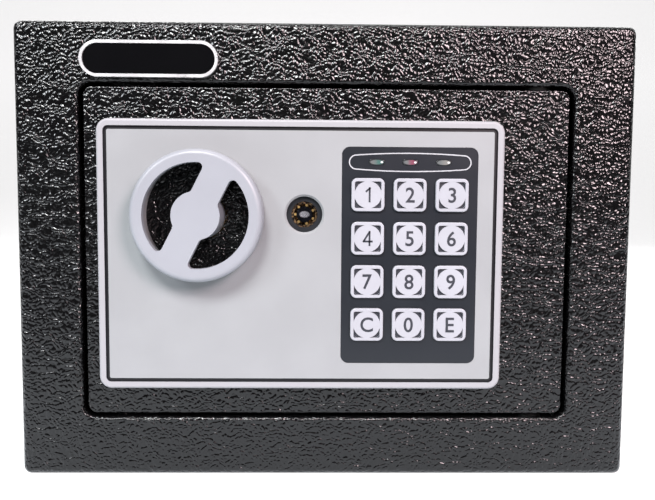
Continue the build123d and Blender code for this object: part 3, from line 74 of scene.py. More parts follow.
class Value:
    """A number that varies over a surface: a shader output that takes arithmetic."""

    def __init__(self, graph: "Graph", socket: bpy.types.NodeSocket) -> None:
        """Keeps the socket and the graph that it belongs to."""
        self.graph = graph
        self.socket = socket

    def __add__(self, other: "Operand") -> "Value":
        """The sum."""
        return self.graph.calc("ADD", self, other)

    def __sub__(self, other: "Operand") -> "Value":
        """The difference."""
        return self.graph.calc("SUBTRACT", self, other)

    def __rsub__(self, other: "Operand") -> "Value":
        """The difference, with the number first."""
        return self.graph.calc("SUBTRACT", other, self)

    def __mul__(self, other: "Operand") -> "Value":
        """The product."""
        return self.graph.calc("MULTIPLY", self, other)

    def __truediv__(self, other: "Operand") -> "Value":
        """The quotient."""
        return self.graph.calc("DIVIDE", self, other)

    def __gt__(self, other: "Operand") -> "Value":
        """1 where this is the greater, 0 elsewhere."""
        return self.graph.calc("GREATER_THAN", self, other)

    def __lt__(self, other: "Operand") -> "Value":
        """1 where this is the smaller, 0 elsewhere."""
        return self.graph.calc("LESS_THAN", self, other)

    def __abs__(self) -> "Value":
        """The size without the sign."""
        return self.graph.calc("ABSOLUTE", self)

    __radd__ = __add__
    __rmul__ = __mul__

    def most(self, other: "Operand") -> "Value":
        """The greater of the two."""
        return self.graph.calc("MAXIMUM", self, other)

    def least(self, other: "Operand") -> "Value":
        """The smaller of the two."""
        return self.graph.calc("MINIMUM", self, other)

    def root(self) -> "Value":
        """The square root."""
        return self.graph.calc("SQRT", self)

    def ramp(self, low: float, high: float) -> "Value":
        """A smooth step.

        Args:
            low: the value at which the step starts.
            high: the value at which it ends.

        Returns:
            0 up to low, 1 from high on, and a smooth rise between.
        """
        made = self.graph.node(
            "ShaderNodeMapRange",
            {"interpolation_type": "SMOOTHSTEP"},
            {"Value": self, "From Min": low, "From Max": high},
        )
        return Value(self.graph, made.outputs["Result"])


Operand = Union[Value, float]


class Graph:
    """The node tree of one material."""

    def __init__(self, name: str) -> None:
        """Starts a material with a bare surface shader.

        Args:
            name: the material's name.
        """
        self.material = bpy.data.materials.new(name)
        self.material.use_nodes = True
        self.tree = self.material.node_tree
        self.tree.nodes.clear()
        self.surface = self.node("ShaderNodeBsdfPrincipled")
        self.node("ShaderNodeOutputMaterial", {}, {"Surface": self.surface.outputs[0]})
        self.place = self.node("ShaderNodeTexCoord").outputs["Object"]
        self.normal: Optional[bpy.types.NodeSocket] = None

    def node(
        self, kind: str, settings: Optional[dict] = None, sockets: Optional[dict] = None
    ) -> bpy.types.Node:
        """Adds a node.

        Args:
            kind: the node's type.
            settings: its own settings, set first.
            sockets: for each input, by name or number, a number, a colour, a socket or a Value.

        Returns:
            The new node.
        """
        made = self.tree.nodes.new(kind)
        for name, setting in (settings or {}).items():
            setattr(made, name, setting)
        for name, given in (sockets or {}).items():
            given = given.socket if isinstance(given, Value) else given
            if isinstance(given, bpy.types.NodeSocket):
                self.tree.links.new(given, made.inputs[name])
            else:
                made.inputs[name].default_value = given
        return made

    def calc(self, operation: str, *operands: Operand) -> Value:
        """One step of arithmetic on one, two or three operands."""
        made = self.node("ShaderNodeMath", {"operation": operation}, dict(enumerate(operands)))
        return Value(self, made.outputs[0])

    def along(self, axis: Axis) -> Value:
        """The place along an axis, in metres."""
        split = self.node("ShaderNodeSeparateXYZ", {}, {"Vector": self.place})
        return Value(self, split.outputs[axis.value])

    def stretched(self, scale: Colour) -> bpy.types.NodeSocket:
        """The place, with each axis scaled, for a grain that runs one way."""
        made = self.node("ShaderNodeMapping", {}, {"Vector": self.place, "Scale": scale})
        return made.outputs["Vector"]

    def noise(
        self, size: float, detail: float = 2.0, place: Optional[bpy.types.NodeSocket] = None
    ) -> Value:
        """Smooth noise.

        Args:
            size: the size of its features, in millimetres.
            detail: how many finer layers it has.
            place: the place to read, if not the plain one.

        Returns:
            A value from 0 to 1 that is mostly near 0.5.
        """
        made = self.node(
            "ShaderNodeTexNoise",
            {},
            {"Vector": place or self.place, "Scale": 1 / (size * MM), "Detail": detail},
        )
        return Value(self, made.outputs["Fac"])

    def mix(self, share: Operand, first: Colour, second: Colour) -> bpy.types.NodeSocket:
        """A blend of two colours, either of which may be a socket."""
        colours = {
            number: colour if isinstance(colour, bpy.types.NodeSocket) else (*colour, 1.0)
            for number, colour in ((6, first), (7, second))
        }
        made = self.node("ShaderNodeMix", {"data_type": "RGBA"}, {0: share, **colours})
        return made.outputs[2]

    def bump(self, height: Value, depth: float, strength: float = 1.0) -> None:
        """Adds relief to the surface.

        Args:
            height: the relief, from 0 to 1.
            depth: its depth in millimetres.
            strength: how much of it shows.
        """
        sockets = {"Height": height, "Distance": depth * MM, "Strength": strength}
        if self.normal is not None:
            sockets["Normal"] = self.normal
        self.normal = self.node("ShaderNodeBump", {}, sockets).outputs[0]
        self.feed("Normal", self.normal)

    def feed(self, name: str, given: Union[Operand, Colour, bpy.types.NodeSocket]) -> None:
        """Sets or links one input of the surface shader."""
        given = given.socket if isinstance(given, Value) else given
        if isinstance(given, bpy.types.NodeSocket):
            self.tree.links.new(given, self.surface.inputs[name])
        elif isinstance(given, tuple):
            self.surface.inputs[name].default_value = (*given, 1.0)
        else:
            self.surface.inputs[name].default_value = given

    def rounded_box(
        self, centre: tuple[float, float], size: tuple[float, float], corner: float
    ) -> Value:
        """Distance from the outline of an upright rounded rectangle.

        Args:
            centre: its middle, across and up, in metres.
            size: its width and height, in metres.
            corner: the radius of its corners, in metres.

        Returns:
            The distance in metres, less than zero inside.
        """
        across = abs(self.along(Axis.X) - centre[0]) - (size[0] / 2 - corner)
        up = abs(self.along(Axis.Z) - centre[1]) - (size[1] / 2 - corner)
        outside = (across.most(0.0) * across.most(0.0) + up.most(0.0) * up.most(0.0)).root()
        return outside + across.most(up).least(0.0) - corner

    @staticmethod
    def oval(across: Value, up: Value, wide: float, tall: float) -> Value:
        """How far out a place lies in an oval.

        Args:
            across: the distance from the oval's middle, across, in metres.
            up: the distance upwards, in metres.
            wide: half the oval's width, in metres.
            tall: half its height, in metres.

        Returns:
            0 in the middle and 1 on the outline, growing with the square of the distance.
        """
        across, up = across * (1 / wide), up * (1 / tall)
        return across * across + up * up


def middle_and_size(node: str) -> tuple[Vector, Vector]:
    """The middle and the size of a solid part's box, in metres."""
    low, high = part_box(node)
    return (low + high) / 2, high - low


@dataclass(frozen=True)
class Finish:
    """A surface finish, with the values that are the same all over it."""

    name: str
    colour: Colour
    roughness: float = 0.5
    metallic: float = 0.0
    coat: float = 0.0

    def material(self) -> bpy.types.Material:
        """The finish as a material, made once."""
        made = bpy.data.materials.get(self.name)
        if made is None:
            graph = Graph(self.name)
            graph.feed("Base Color", self.colour)
            graph.feed("Roughness", self.roughness)
            graph.feed("Metallic", self.metallic)
            graph.feed("Coat Weight", self.coat)
            self.paint(graph)
            made = graph.material
        return made

    def paint(self, graph: Graph) -> None:
        """Adds what varies over the surface."""
        raise NotImplementedError


@dataclass(frozen=True)
class HammeredPaint(Finish):
    """Thick black powder paint that dries in glossy lumps with creases between them.

    Sizes are in millimetres. The drift bends the rows of lumps, and the swell lifts groups of them.
    """

    lump: float = 1.32
    relief: float = 0.36
    doming: float = 1.9
    smoothness: float = 0.35
    randomness: float = 0.9
    lump_share: float = 0.7
    drift_lumps: float = 3.0
    drift: float = 2.5
    swell_lumps: float = 1.7
    swell_share: float = 0.5
    dust: float = 30.0
    dust_dulling: float = 0.05
    # How dark the painted shade in the creases between the lumps is.
    crease_painted_shade: float = 0.6

    def paint(self, graph: Graph) -> None:
        """Small domes packed side by side, with creases between them and an uneven height, and
        painted shade in the creases.
        """
        bending = graph.node(
            "ShaderNodeTexNoise",
            {},
            {
                "Vector": graph.place,
                "Scale": 1 / (self.drift_lumps * self.lump * MM),
                "Detail": 0.0,
            },
        )
        moved = graph.node(
            "ShaderNodeVectorMath",
            {"operation": "MULTIPLY_ADD"},
            {0: bending.outputs["Color"], 1: (self.drift * MM,) * 3, 2: graph.place},
        ).outputs["Vector"]
        cells = graph.node(
            "ShaderNodeTexVoronoi",
            {"feature": "SMOOTH_F1"},
            {
                "Vector": moved,
                "Scale": 1 / (self.lump * MM),
                "Smoothness": self.smoothness,
                "Randomness": self.randomness,
            },
        )
        reach = Value(graph, cells.outputs["Distance"])
        lumps = (1 - reach * reach * self.doming).most(0.0)
        swell = graph.noise(self.swell_lumps * self.lump, 0.0, moved)
        graph.bump(lumps * self.lump_share + swell * self.swell_share, self.relief)
        dust = graph.noise(self.dust, 3.0)
        graph.feed("Roughness", self.roughness + dust * self.dust_dulling)
        # Painted shade: the colour darkens towards the creases between the lumps.
        painted_crease_shade = tuple(self.crease_painted_shade * c for c in self.colour)
        graph.feed("Base Color", graph.mix(lumps, painted_crease_shade, self.colour))


@dataclass(frozen=True)
class MouldedPlastic(Finish):
    """Moulded plastic with a fine even grain and a faint unevenness of tone.

    Sizes are in millimetres.
    """

    grain: float = 0.25
    relief: float = 0.006
    unevenness: float = 0.03
    gloss_patch: float = 9.0
    gloss_change: float = 0.12
    tone_patch: float = 22.0

    def paint(self, graph: Graph) -> None:
        """Fine grain, and a broad soft change of tone and gloss."""
        self.grain_on(graph)
        graph.feed("Base Color", self.tone(graph, self.colour))

    def grain_on(self, graph: Graph) -> None:
        """Adds the relief and the change of gloss."""
        graph.bump(graph.noise(self.grain, 2.0), self.relief)
        patches = graph.noise(self.gloss_patch, 3.0) - 0.5
        graph.feed("Roughness", self.roughness + patches * self.gloss_change)

    def tone(self, graph: Graph, colour: Colour) -> bpy.types.NodeSocket:
        """The colour with its unevenness."""
        darker = tuple(c * (1 - 2 * self.unevenness) for c in colour)
        return graph.mix(graph.noise(self.tone_patch, 4.0).ramp(0.3, 0.7), darker, colour)


@dataclass(frozen=True)
class FasciaPlastic(MouldedPlastic):
    """The front panel's plastic: a grey field, a paler border, and a black line between them."""

    node: str = "front_panel"
    corner: float = 4.5
    groove_inset: float = 2.6
    groove_width: float = 1.35
    groove_reach: float = 0.9
    border: Colour = (0.3, 0.303, 0.32)
    line: Colour = (0.002, 0.002, 0.004)

    def paint(self, graph: Graph) -> None:
        """Colours by the distance from the panel's outline."""
        self.grain_on(graph)
        middle, size = middle_and_size(self.node)
        edge = graph.rounded_box((middle.x, middle.z), (size.x, size.z), self.corner * MM)
        outer = edge > -self.groove_inset * MM
        within = edge < -(self.groove_inset + self.groove_width) * MM
        front = graph.along(Axis.Y) < middle.y - size.y / 2 + self.groove_reach * MM
        groove = (1 - outer) * (1 - within) * front
        panel = graph.mix(outer, self.tone(graph, self.colour), self.border)
        graph.feed("Base Color", graph.mix(groove, panel, self.line))


@dataclass(frozen=True)
class Metal(Finish):
    """Plated, drawn or polished metal, with fine lines that run along one axis.

    Sizes are in millimetres.
    """

    run: Axis = Axis.X
    lines: float = 0.12
    line_stretch: float = 0.04
    line_dulling: float = 0.12
    relief: float = 0.003
    cloud: float = 6.0
    cloud_shade: float = 0.78
    tarnish: float = 0.15

    def paint(self, graph: Graph) -> None:
        """Fine lines and cloudy tarnish."""
        scale = [1.0, 1.0, 1.0]
        scale[self.run.value] = self.line_stretch
        fine = graph.noise(self.lines, 3.0, graph.stretched(tuple(scale)))
        clouds = graph.noise(self.cloud, 4.0).ramp(0.35, 0.75)
        graph.bump(fine, self.relief)
        worn = fine * self.line_dulling + clouds * self.tarnish
        graph.feed("Roughness", self.roughness + worn)
        dull = tuple(self.cloud_shade * c for c in self.colour)
        graph.feed("Base Color", graph.mix(clouds, self.colour, dull))


@dataclass(frozen=True)
class LockFace(Metal):
    """The face of the lock's core: brassy ring, slot with painted shade, and post with a painted
    reflection. Sizes in millimetres.
    """

    node: str = "lock_core"
    post_radius: float = 2.9
    ring_radius: float = 3.2
    glint: tuple[float, float] = (2.0, 1.25)
    blend: float = 0.1
    blotch: float = 0.9
    speck: float = 0.6
    dents: float = 0.22
    brass: Colour = (0.4, 0.26, 0.14)
    # The dark colour serves the ring's blotches, the painted reflection on the post and the painted
    # shade in the slot.
    dark: Colour = (0.012, 0.013, 0.018)

    def paint(self, graph: Graph) -> None:
        """Colours by the distance from the core's axis, with a painted reflection on the post,
        bright in its middle and dark above and below, and painted shade in the slot.
        """
        super().paint(graph)
        middle, _ = middle_and_size(self.node)
        across = graph.along(Axis.X) - middle.x
        up = graph.along(Axis.Z) - middle.z
        radius = (across * across + up * up).root()
        blotches = graph.noise(self.blotch, 2.0).ramp(0.4, 0.6)
        ring = graph.mix(blotches, self.dark, self.brass)
        # Painted reflection on the post: nickel-bright in an oval in its middle, dark above and
        # below.
        glint = graph.oval(across, up, *(size * MM for size in self.glint))
        post = graph.mix(glint.ramp(0.5, 1.1), self.colour, self.dark)
        # Painted shade in the slot between the post and the ring: mostly dark, with specks of
        # brass.
        slot = radius.ramp(self.post_radius * MM, (self.post_radius + self.blend) * MM)
        outer = radius.ramp(self.ring_radius * MM, (self.ring_radius + self.blend) * MM)
        wall = graph.mix(graph.noise(self.speck, 1.0).ramp(0.45, 0.6), self.dark, self.brass)
        graph.feed("Base Color", graph.mix(outer, graph.mix(slot, post, wall), ring))
        graph.bump(graph.noise(self.blotch, 1.0), self.dents)


@dataclass(frozen=True)
class Winding(Finish):
    """Enamelled copper wire, wound in even turns about the upright. Sizes in millimetres."""

    wire: float = 0.35
    relief: float = 0.12
    gloss_patch: float = 3.0
    dulling: float = 0.15
    gap_painted_shade: float = 0.35

    def paint(self, graph: Graph) -> None:
        """Round turns side by side, with painted shade where they touch."""
        half = self.wire / 2 * MM
        wrap = graph.calc("PINGPONG", graph.along(Axis.Z), half) / half
        graph.bump((wrap * (2 - wrap)).root(), self.relief)
        graph.feed("Roughness", self.roughness + graph.noise(self.gloss_patch) * self.dulling)
        # Painted shade: the colour darkens where the turns touch.
        painted_gap_shade = tuple(self.gap_painted_shade * c for c in self.colour)
        graph.feed("Base Color", graph.mix(wrap.ramp(0.0, 0.6), painted_gap_shade, self.colour))


@dataclass(frozen=True)
class CellJacket(Finish):
    """A plain dry cell: a dark jacket with a coppery band and a bare metal cap at each end.

    Sizes are in millimetres.
    """

    node: str = "batteries"
    band: Colour = (0.62, 0.3, 0.12)
    band_length: float = 15.0
    band_metal: float = 0.1
    cap: Colour = (0.7, 0.7, 0.7)
    cap_length: float = 1.6
    cap_metal: float = 0.9
    gloss_patch: float = 2.5
    dulling: float = 0.12
    dent: float = 1.2
    relief: float = 0.01

    def paint(self, graph: Graph) -> None:
        """Bands along the cells, which lie across the safe."""
        low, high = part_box(self.node)
        across = graph.along(Axis.X)
        from_end = (across - low.x).least(high.x - across)
        coppery = across > high.x - self.band_length * MM
        bare = from_end < self.cap_length * MM
        jacket = graph.mix(coppery, self.colour, self.band)
        graph.feed("Base Color", graph.mix(bare, jacket, self.cap))
        graph.feed("Metallic", bare * self.cap_metal + coppery * self.band_metal)
        patches = graph.noise(self.gloss_patch, 3.0)
        graph.feed("Roughness", self.roughness + patches * self.dulling)
        graph.bump(graph.noise(self.dent, 2.0), self.relief)


@dataclass(frozen=True)
class CircuitBoard(Finish):
    """Green solder mask with tracks just under it. Sizes in millimetres."""

    track: Colour = (0.03, 0.2, 0.09)
    pitch: float = 3.2
    randomness: float = 0.6
    relief: float = 0.03
    gloss_patch: float = 4.0
    dulling: float = 0.1

    def paint(self, graph: Graph) -> None:
        """Square runs of track, each a ring round the middle of its own cell."""
        cells = graph.node(
            "ShaderNodeTexVoronoi",
            {"distance": "CHEBYCHEV", "feature": "F1"},
            {
                "Vector": graph.place,
                "Scale": 1 / (self.pitch * MM),
                "Randomness": self.randomness,
            },
        )
        reach = Value(graph, cells.outputs["Distance"])
        track = reach.ramp(0.30, 0.34) * (1 - reach.ramp(0.42, 0.46))
        graph.feed("Base Color", graph.mix(track, self.colour, self.track))
        graph.bump(track, self.relief)
        graph.feed("Roughness", self.roughness + graph.noise(self.gloss_patch) * self.dulling)


@dataclass(frozen=True)
class Lens(Finish):
    """Clear coloured plastic over an unlit lamp. Sizes in millimetres."""

    node: str = ""
    rim: Colour = (0.016, 0.018, 0.02)
    shell: Colour = (0.12, 0.13, 0.13)
    # The painted highlight near the right end: its colour, its offset and its half sizes.
    painted_highlight: Colour = (0.62, 0.64, 0.64)
    painted_highlight_offset: float = 1.8
    painted_highlight_size: tuple[float, float] = (0.6, 0.42)
    cloud: float = 1.6
    cloudiness: float = 0.4
    ripple: float = 0.8
    relief: float = 0.01

    def paint(self, graph: Graph) -> None:
        """A dark rim round an oval, greyer at its left, with a painted highlight near its right
        end.
        """
        middle, size = middle_and_size(self.node)
        across = graph.along(Axis.X) - middle.x
        up = graph.along(Axis.Z) - middle.z
        outline = graph.oval(across, up, size.x / 2, size.z / 2)
        # Painted highlight: a pale oval near the right end of the lens, over the lens colour.
        aside = across - self.painted_highlight_offset * MM
        spot = graph.oval(aside, up, *(part * MM for part in self.painted_highlight_size))
        cloud = graph.noise(self.cloud, 2.0).ramp(0.35, 0.65) * self.cloudiness
        tinted = across.ramp(-0.25 * size.x, 0.1 * size.x) * (1 - cloud)
        tint = graph.mix(tinted, self.shell, self.colour)
        lamp = graph.mix(spot.ramp(0.25, 1.0), self.painted_highlight, tint)
        graph.feed("Base Color", graph.mix(outline.ramp(0.45, 0.95), lamp, self.rim))
        graph.bump(graph.noise(self.ripple, 1.0), self.relief)


@dataclass(frozen=True)
class Felt(Finish):
    """Short pressed fibre with pills and a soft nap. Sizes in millimetres."""

    fibre: float = 0.22
    fibre_relief: float = 0.18
    fibre_share: float = 0.6
    pill: float = 1.3
    pill_relief: float = 0.35
    worn_patch: float = 38.0
    worn_share: float = 0.4
    hollow_painted_shade: float = 0.5
    fibre_dulling: float = 0.1
    nap: float = 0.35

    def paint(self, graph: Graph) -> None:
        """Tangled fibres, pills and worn patches, with painted shade where the fibres lie low."""
        tangle = graph.noise(self.fibre, 4.0)
        pills = graph.noise(self.pill, 3.0)
        worn = graph.noise(self.worn_patch, 3.0).ramp(0.4, 0.7)
        graph.bump(pills, self.pill_relief, 0.6)
        graph.bump(tangle, self.fibre_relief, 0.9)
        # Painted shade: darker where the fibres lie low; the worn patches are lighter.
        tone = tangle.ramp(0.3, 0.7) * self.fibre_share + worn * self.worn_share
        painted_hollow_shade = tuple(self.hollow_painted_shade * c for c in self.colour)
        graph.feed("Base Color", graph.mix(tone, painted_hollow_shade, self.colour))
        graph.feed("Roughness", self.roughness + tangle * self.fibre_dulling)
        graph.feed("Sheen Weight", self.nap)
        graph.feed("Sheen Roughness", 0.5)


@dataclass(frozen=True)
class Paper(Finish):
    """Matt white studio paper, lit a little from within so that it stays even.

    Places are in metres. The paint mirrors cool paper close in front of the safe and dark paper
    further off, while the camera sees all of it white.
    """

    glow: float = 0.62
    tooth: float = 1.5
    relief: float = 0.01
    fade_start: float = -0.2
    fade_end: float = -0.38
    fade: float = 0.05
    cool_start: float = 0.08
    cool_end: float = -0.08
    cool_tint: Colour = (0.93, 1.0, 1.05)

    def paint(self, graph: Graph) -> None:
        """A faint tooth, and what the paint mirrors of the paper."""
        graph.bump(graph.noise(self.tooth, 2.0), self.relief)
        seen = Value(graph, graph.node("ShaderNodeLightPath").outputs["Is Camera Ray"])
        near = graph.along(Axis.Y).ramp(self.fade_end, self.fade_start).most(seen)
        behind = graph.along(Axis.Y).ramp(self.cool_end, self.cool_start).most(seen)
        for socket, white in (("Base Color", self.colour), ("Emission Color", (1.0, 1.0, 1.0))):
            cool = tuple(tint * c for tint, c in zip(self.cool_tint, white))
            dark = tuple(self.fade * c for c in cool)
            graph.feed(socket, graph.mix(near, dark, graph.mix(behind, cool, white)))
        graph.feed("Emission Strength", self.glow)


PAINT = HammeredPaint("hammered_black", (0.0018, 0.0018, 0.002), roughness=0.14)
BADGE_FIELD = MouldedPlastic(
    "badge_dark_enamel", (0.002, 0.002, 0.0025), roughness=0.1, relief=0.004
)
BADGE_RIM = Metal("badge_silver_rim", (0.82, 0.82, 0.83), roughness=0.22, metallic=0.7)
PLATED = Metal("zinc_plated_steel", (0.66, 0.66, 0.64), roughness=0.26, metallic=1.0)
CHROME = Metal(
    "chromed_bolt_steel", (0.82, 0.82, 0.83), roughness=0.1, metallic=1.0, tarnish=0.06
)
BRASS = Metal("turned_brass", (0.72, 0.5, 0.2), roughness=0.24, metallic=1.0, run=Axis.Y)
LOCK_STEEL = LockFace(
    "lock_nickel_and_brass", (0.6, 0.61, 0.66), roughness=0.16, metallic=0.9, run=Axis.Y
)
LOCK_DARK = Metal(
    "lock_blackened_zinc", (0.03, 0.033, 0.038), roughness=0.28, metallic=0.6, run=Axis.Y
)
FASCIA = FasciaPlastic("silver_grey_fascia", (0.272, 0.284, 0.293), roughness=0.42)
KNOB = MouldedPlastic("pale_grey_knob", (0.28, 0.295, 0.325), roughness=0.36, grain=0.3)
KEYPAD = MouldedPlastic("slate_keypad", (0.009, 0.0115, 0.016), roughness=0.34)
KEY = MouldedPlastic("pale_keycap", (0.36, 0.37, 0.405), roughness=0.3, grain=0.3)
INK = MouldedPlastic("dark_key_ink", (0.022, 0.025, 0.034), roughness=0.5)
WHITE_INK = MouldedPlastic("white_line_ink", (0.38, 0.39, 0.41), roughness=0.45)
RUBBER = MouldedPlastic(
    "black_rubber", (0.02, 0.02, 0.02), roughness=0.62, grain=0.4, relief=0.02
)
COVER = MouldedPlastic(
    "black_cover_plastic", (0.022, 0.022, 0.024), roughness=0.42, grain=0.5, relief=0.02
)
SWITCH = MouldedPlastic("switch_black_plastic", (0.03, 0.03, 0.03), roughness=0.4)
BUTTON = MouldedPlastic("reset_red_plastic", (0.5, 0.02, 0.02), roughness=0.35)
SHEATH = MouldedPlastic("wire_red_sheath", (0.35, 0.02, 0.02), roughness=0.4)
BOARD = CircuitBoard("green_solder_mask", (0.012, 0.09, 0.04), roughness=0.3, coat=0.3)
COIL = Winding("enamelled_copper", (0.55, 0.2, 0.06), roughness=0.25, metallic=0.9)
CONTACT = Metal("nickel_contact", (0.72, 0.7, 0.64), roughness=0.3, metallic=1.0, run=Axis.Z)
CELL = CellJacket("dry_cell_jacket", (0.02, 0.02, 0.022), roughness=0.3)
GREEN = Lens(
    "unlit_green_lens", (0.055, 0.115, 0.105), roughness=0.2, coat=0.1, node="light_green"
)
RED = Lens("unlit_red_lens", (0.18, 0.045, 0.075), roughness=0.2, coat=0.1, node="light_red")
YELLOW = Lens(
    "unlit_yellow_lens", (0.2, 0.195, 0.18), roughness=0.2, coat=0.1, node="light_yellow"
)
FELT = Felt("charcoal_felt", (0.035, 0.036, 0.04), roughness=0.9)
PAPER = Paper("studio_white_paper", (0.45, 0.45, 0.45), roughness=0.9)


def dress(finish: Finish, *nodes: str) -> None:
    """Gives solid parts their finish.

    Args:
        finish: the finish.
        nodes: the parts' names.
    """
    for name in nodes:
        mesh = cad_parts[name].data
        mesh.materials.clear()
        mesh.materials.append(finish.material())
        LOG.info("%s wears %s", name, finish.name)


def piece(
    name: str, shape: bmesh.types.BMesh, finish: Finish, body: str
) -> bpy.types.Object:
    """Closes a shape into an object that moves with a body.

    Args:
        name: the piece's name.
        shape: its mesh, already in place. It is freed.
        finish: what it is made of.
        body: the moving body that carries it.

    Returns:
        The object.
    """
    bmesh.ops.remove_doubles(shape, verts=shape.verts, dist=MERGE)
    made = closed(name, shape, finish)
    made.data.set_sharp_from_angle(angle=SHARP)
    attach(made, body)
    LOG.info("%s rides on %s, %d faces", name, body, len(made.data.polygons))
    return made


def closed(name: str, shape: bmesh.types.BMesh, finish: Finish) -> bpy.types.Object:
    """Makes a shape into a smooth object of one finish, with its faces outwards.

    Args:
        name: the object's name.
        shape: its mesh, already in place. It is freed.
        finish: what it is made of.

    Returns:
        The object, in the scene.
    """
    bmesh.ops.recalc_face_normals(shape, faces=shape.faces)
    mesh = bpy.data.meshes.new(name)
    shape.to_mesh(mesh)
    shape.free()
    mesh.shade_smooth()
    mesh.materials.append(finish.material())
    made = bpy.data.objects.new(name, mesh)
    bpy.context.scene.collection.objects.link(made)
    return made


def absorb(shape: bmesh.types.BMesh, added: bmesh.types.BMesh) -> None:
    """Adds one mesh to another, and frees the added one."""
    mesh = bpy.data.meshes.new("added")
    added.to_mesh(mesh)
    added.free()
    shape.from_mesh(mesh)
    bpy.data.meshes.remove(mesh)


def points_of(geometry: list) -> list:
    """The vertices among mixed mesh elements."""
    return [element for element in geometry if isinstance(element, bmesh.types.BMVert)]


def turn(
    shape: bmesh.types.BMesh, start: Vector, centre: Vector, angle: float, steps: int
) -> list:
    """An arc of edges in an upright plane that faces the front.

    Args:
        shape: the mesh that gets it.
        start: the arc's first point.
        centre: its centre.
        angle: how far it turns, in degrees, from right towards up.
        steps: how many edges it has.

    Returns:
        The arc's first and last vertices.
    """
    first = shape.verts.new(start)
    made = bmesh.ops.spin(
        shape, geom=[first], cent=centre, axis=TO_FRONT, dvec=(0, 0, 0),
        angle=math.radians(angle), steps=steps, use_duplicate=False,
    )
    return [first, points_of(made["geom_last"])[0]]


def raise_faces(shape: bmesh.types.BMesh, faces: list, distance: float) -> None:
    """Pushes faces towards the front by a distance in metres, with walls behind them."""
    made = bmesh.ops.extrude_face_region(shape, geom=faces)
    bmesh.ops.translate(shape, verts=points_of(made["geom"]), vec=(0, -distance, 0))


@dataclass
class Badge:
    """The bare name plate at the top left: a dark field in a silver rim."""

    def dress(self) -> None:
        """Finishes the plate and its rim."""
        dress(BADGE_FIELD, "badge_plate")
        dress(BADGE_RIM, "badge_rim")


@dataclass
class Cabinet:
    """The steel body with its back, hinges, strike and floor mat. Sizes in millimetres."""

    mat_thickness: float = 1.6
    mat_cell: float = 3.0
    mat_hole_radius: float = 7.0
    mat_rise: float = 0.12
    mat_wave: float = 14.0
    hole_spacing: float = 110.0
    hole_y: float = 20.0

    def dress(self) -> None:
        """Finishes the steelwork."""
        dress(PAINT, "cabinet_shell", "back_panel", "strike_plate", "door_stops", "hinge_lugs")
        dress(PLATED, "hinge_pins")

    def build(self) -> None:
        """Makes the felt mat, with a hole over each anchor hole."""
        middle, size = middle_and_size("floor_mat")
        floor = middle.z - size.z / 2
        radius = self.mat_hole_radius * MM
        shape = bmesh.new()
        bmesh.ops.create_grid(
            shape,
            x_segments=round(size.x / MM / self.mat_cell),
            y_segments=round(size.y / MM / self.mat_cell),
            size=0.5,
        )
        spread = Matrix.Diagonal((size.x, size.y, 1, 1))
        laid = Matrix.Translation((middle.x, middle.y, floor)) @ spread
        bmesh.ops.transform(shape, verts=shape.verts, matrix=laid)
        for side in (-1, 1):
            centre = Vector((side * self.hole_spacing / 2 * MM, self.hole_y * MM, floor))
            inside = [
                face for face in shape.faces
                if (face.calc_center_median() - centre).length < radius
            ]
            bmesh.ops.delete(shape, geom=inside, context="FACES")
            for vertex in shape.verts:
                out = vertex.co - centre
                if vertex.is_boundary and out.length < 2 * radius:
                    vertex.co = centre + out.normalized() * radius
        for vertex in shape.verts:
            wave = noise.noise(vertex.co / (self.mat_wave * MM))
            vertex.co.z += self.mat_rise * MM * (1 + wave)
        bmesh.ops.solidify(shape, geom=shape.faces[:], thickness=-self.mat_thickness * MM)
        made = piece("felt_mat", shape, FELT, "cabinet")
        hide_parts("floor_mat")


@dataclass
class Door:
    """The steel door with its hinge leaves."""

    def dress(self) -> None:
        """Finishes the plate and the leaves."""
        dress(PAINT, "door_plate", "hinge_leaves")


@dataclass
class Fascia:
    """The plastic front: panel, keypad plate and lights. Sizes in millimetres."""

    outline_half_length: float = 22.4
    outline_half_height: float = 3.5
    outline_end_radius: float = 2.75
    outline_width: float = 0.42
    outline_thickness: float = 0.05
    bow_steps: int = 14
    end_steps: int = 12

    def dress(self) -> None:
        """Finishes the moulded parts and the lenses."""
        dress(FASCIA, "front_panel")
        dress(KEYPAD, "keypad_plate")
        dress(RUBBER, "keypad_membrane")
        dress(BOARD, "keypad_board")
        dress(PLATED, "panel_screws")
        dress(GREEN, "light_green")
        dress(RED, "light_red")
        dress(YELLOW, "light_yellow")

    def build(self) -> None:
        """Makes the white line that runs round the three lights."""
        middle, _ = middle_and_size("light_red")
        middle.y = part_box("keypad_plate")[0].y
        straight = (self.outline_half_length - self.outline_end_radius) * MM
        end = self.outline_end_radius * MM
        rise = self.outline_half_height * MM - end
        bow = (straight**2 + rise**2) / (2 * rise)
        sweep = 2 * math.degrees(math.asin(straight / bow))
        shape = bmesh.new()
        for side in (1, -1):
            corner = middle + Vector((side * straight, 0, side * end))
            centre = middle + Vector((0, 0, side * (end + rise - bow)))
            turn(shape, corner, centre, sweep, self.bow_steps)
            centre = middle + Vector((side * straight, 0, 0))
            turn(shape, centre - Vector((0, 0, side * end)), centre, 180, self.end_steps)
        bmesh.ops.remove_doubles(shape, verts=shape.verts, dist=10 * MERGE)
        bmesh.ops.edgeloop_fill(shape, edges=shape.edges[:])
        bmesh.ops.inset_region(
            shape, faces=shape.faces[:], thickness=self.outline_width * MM,
            use_even_offset=True, use_boundary=True,
        )
        inner = max(shape.faces, key=lambda face: face.calc_area())
        bmesh.ops.delete(shape, geom=[inner], context="FACES")
        raise_faces(shape, shape.faces[:], self.outline_thickness * MM)
        piece("light_outline", shape, WHITE_INK, "door")


# Characters drawn as straight strokes, each from one point to another, one unit high in all.
STROKES = {
    "1": (((0.0, -0.44), (0.0, 0.44)), ((0.0, 0.42), (-0.22, 0.24))),
    "4": (
        ((0.14, -0.44), (0.14, 0.44)),
        ((0.12, 0.42), (-0.26, -0.17)),
        ((-0.26, -0.2), (0.3, -0.2)),
    ),
}


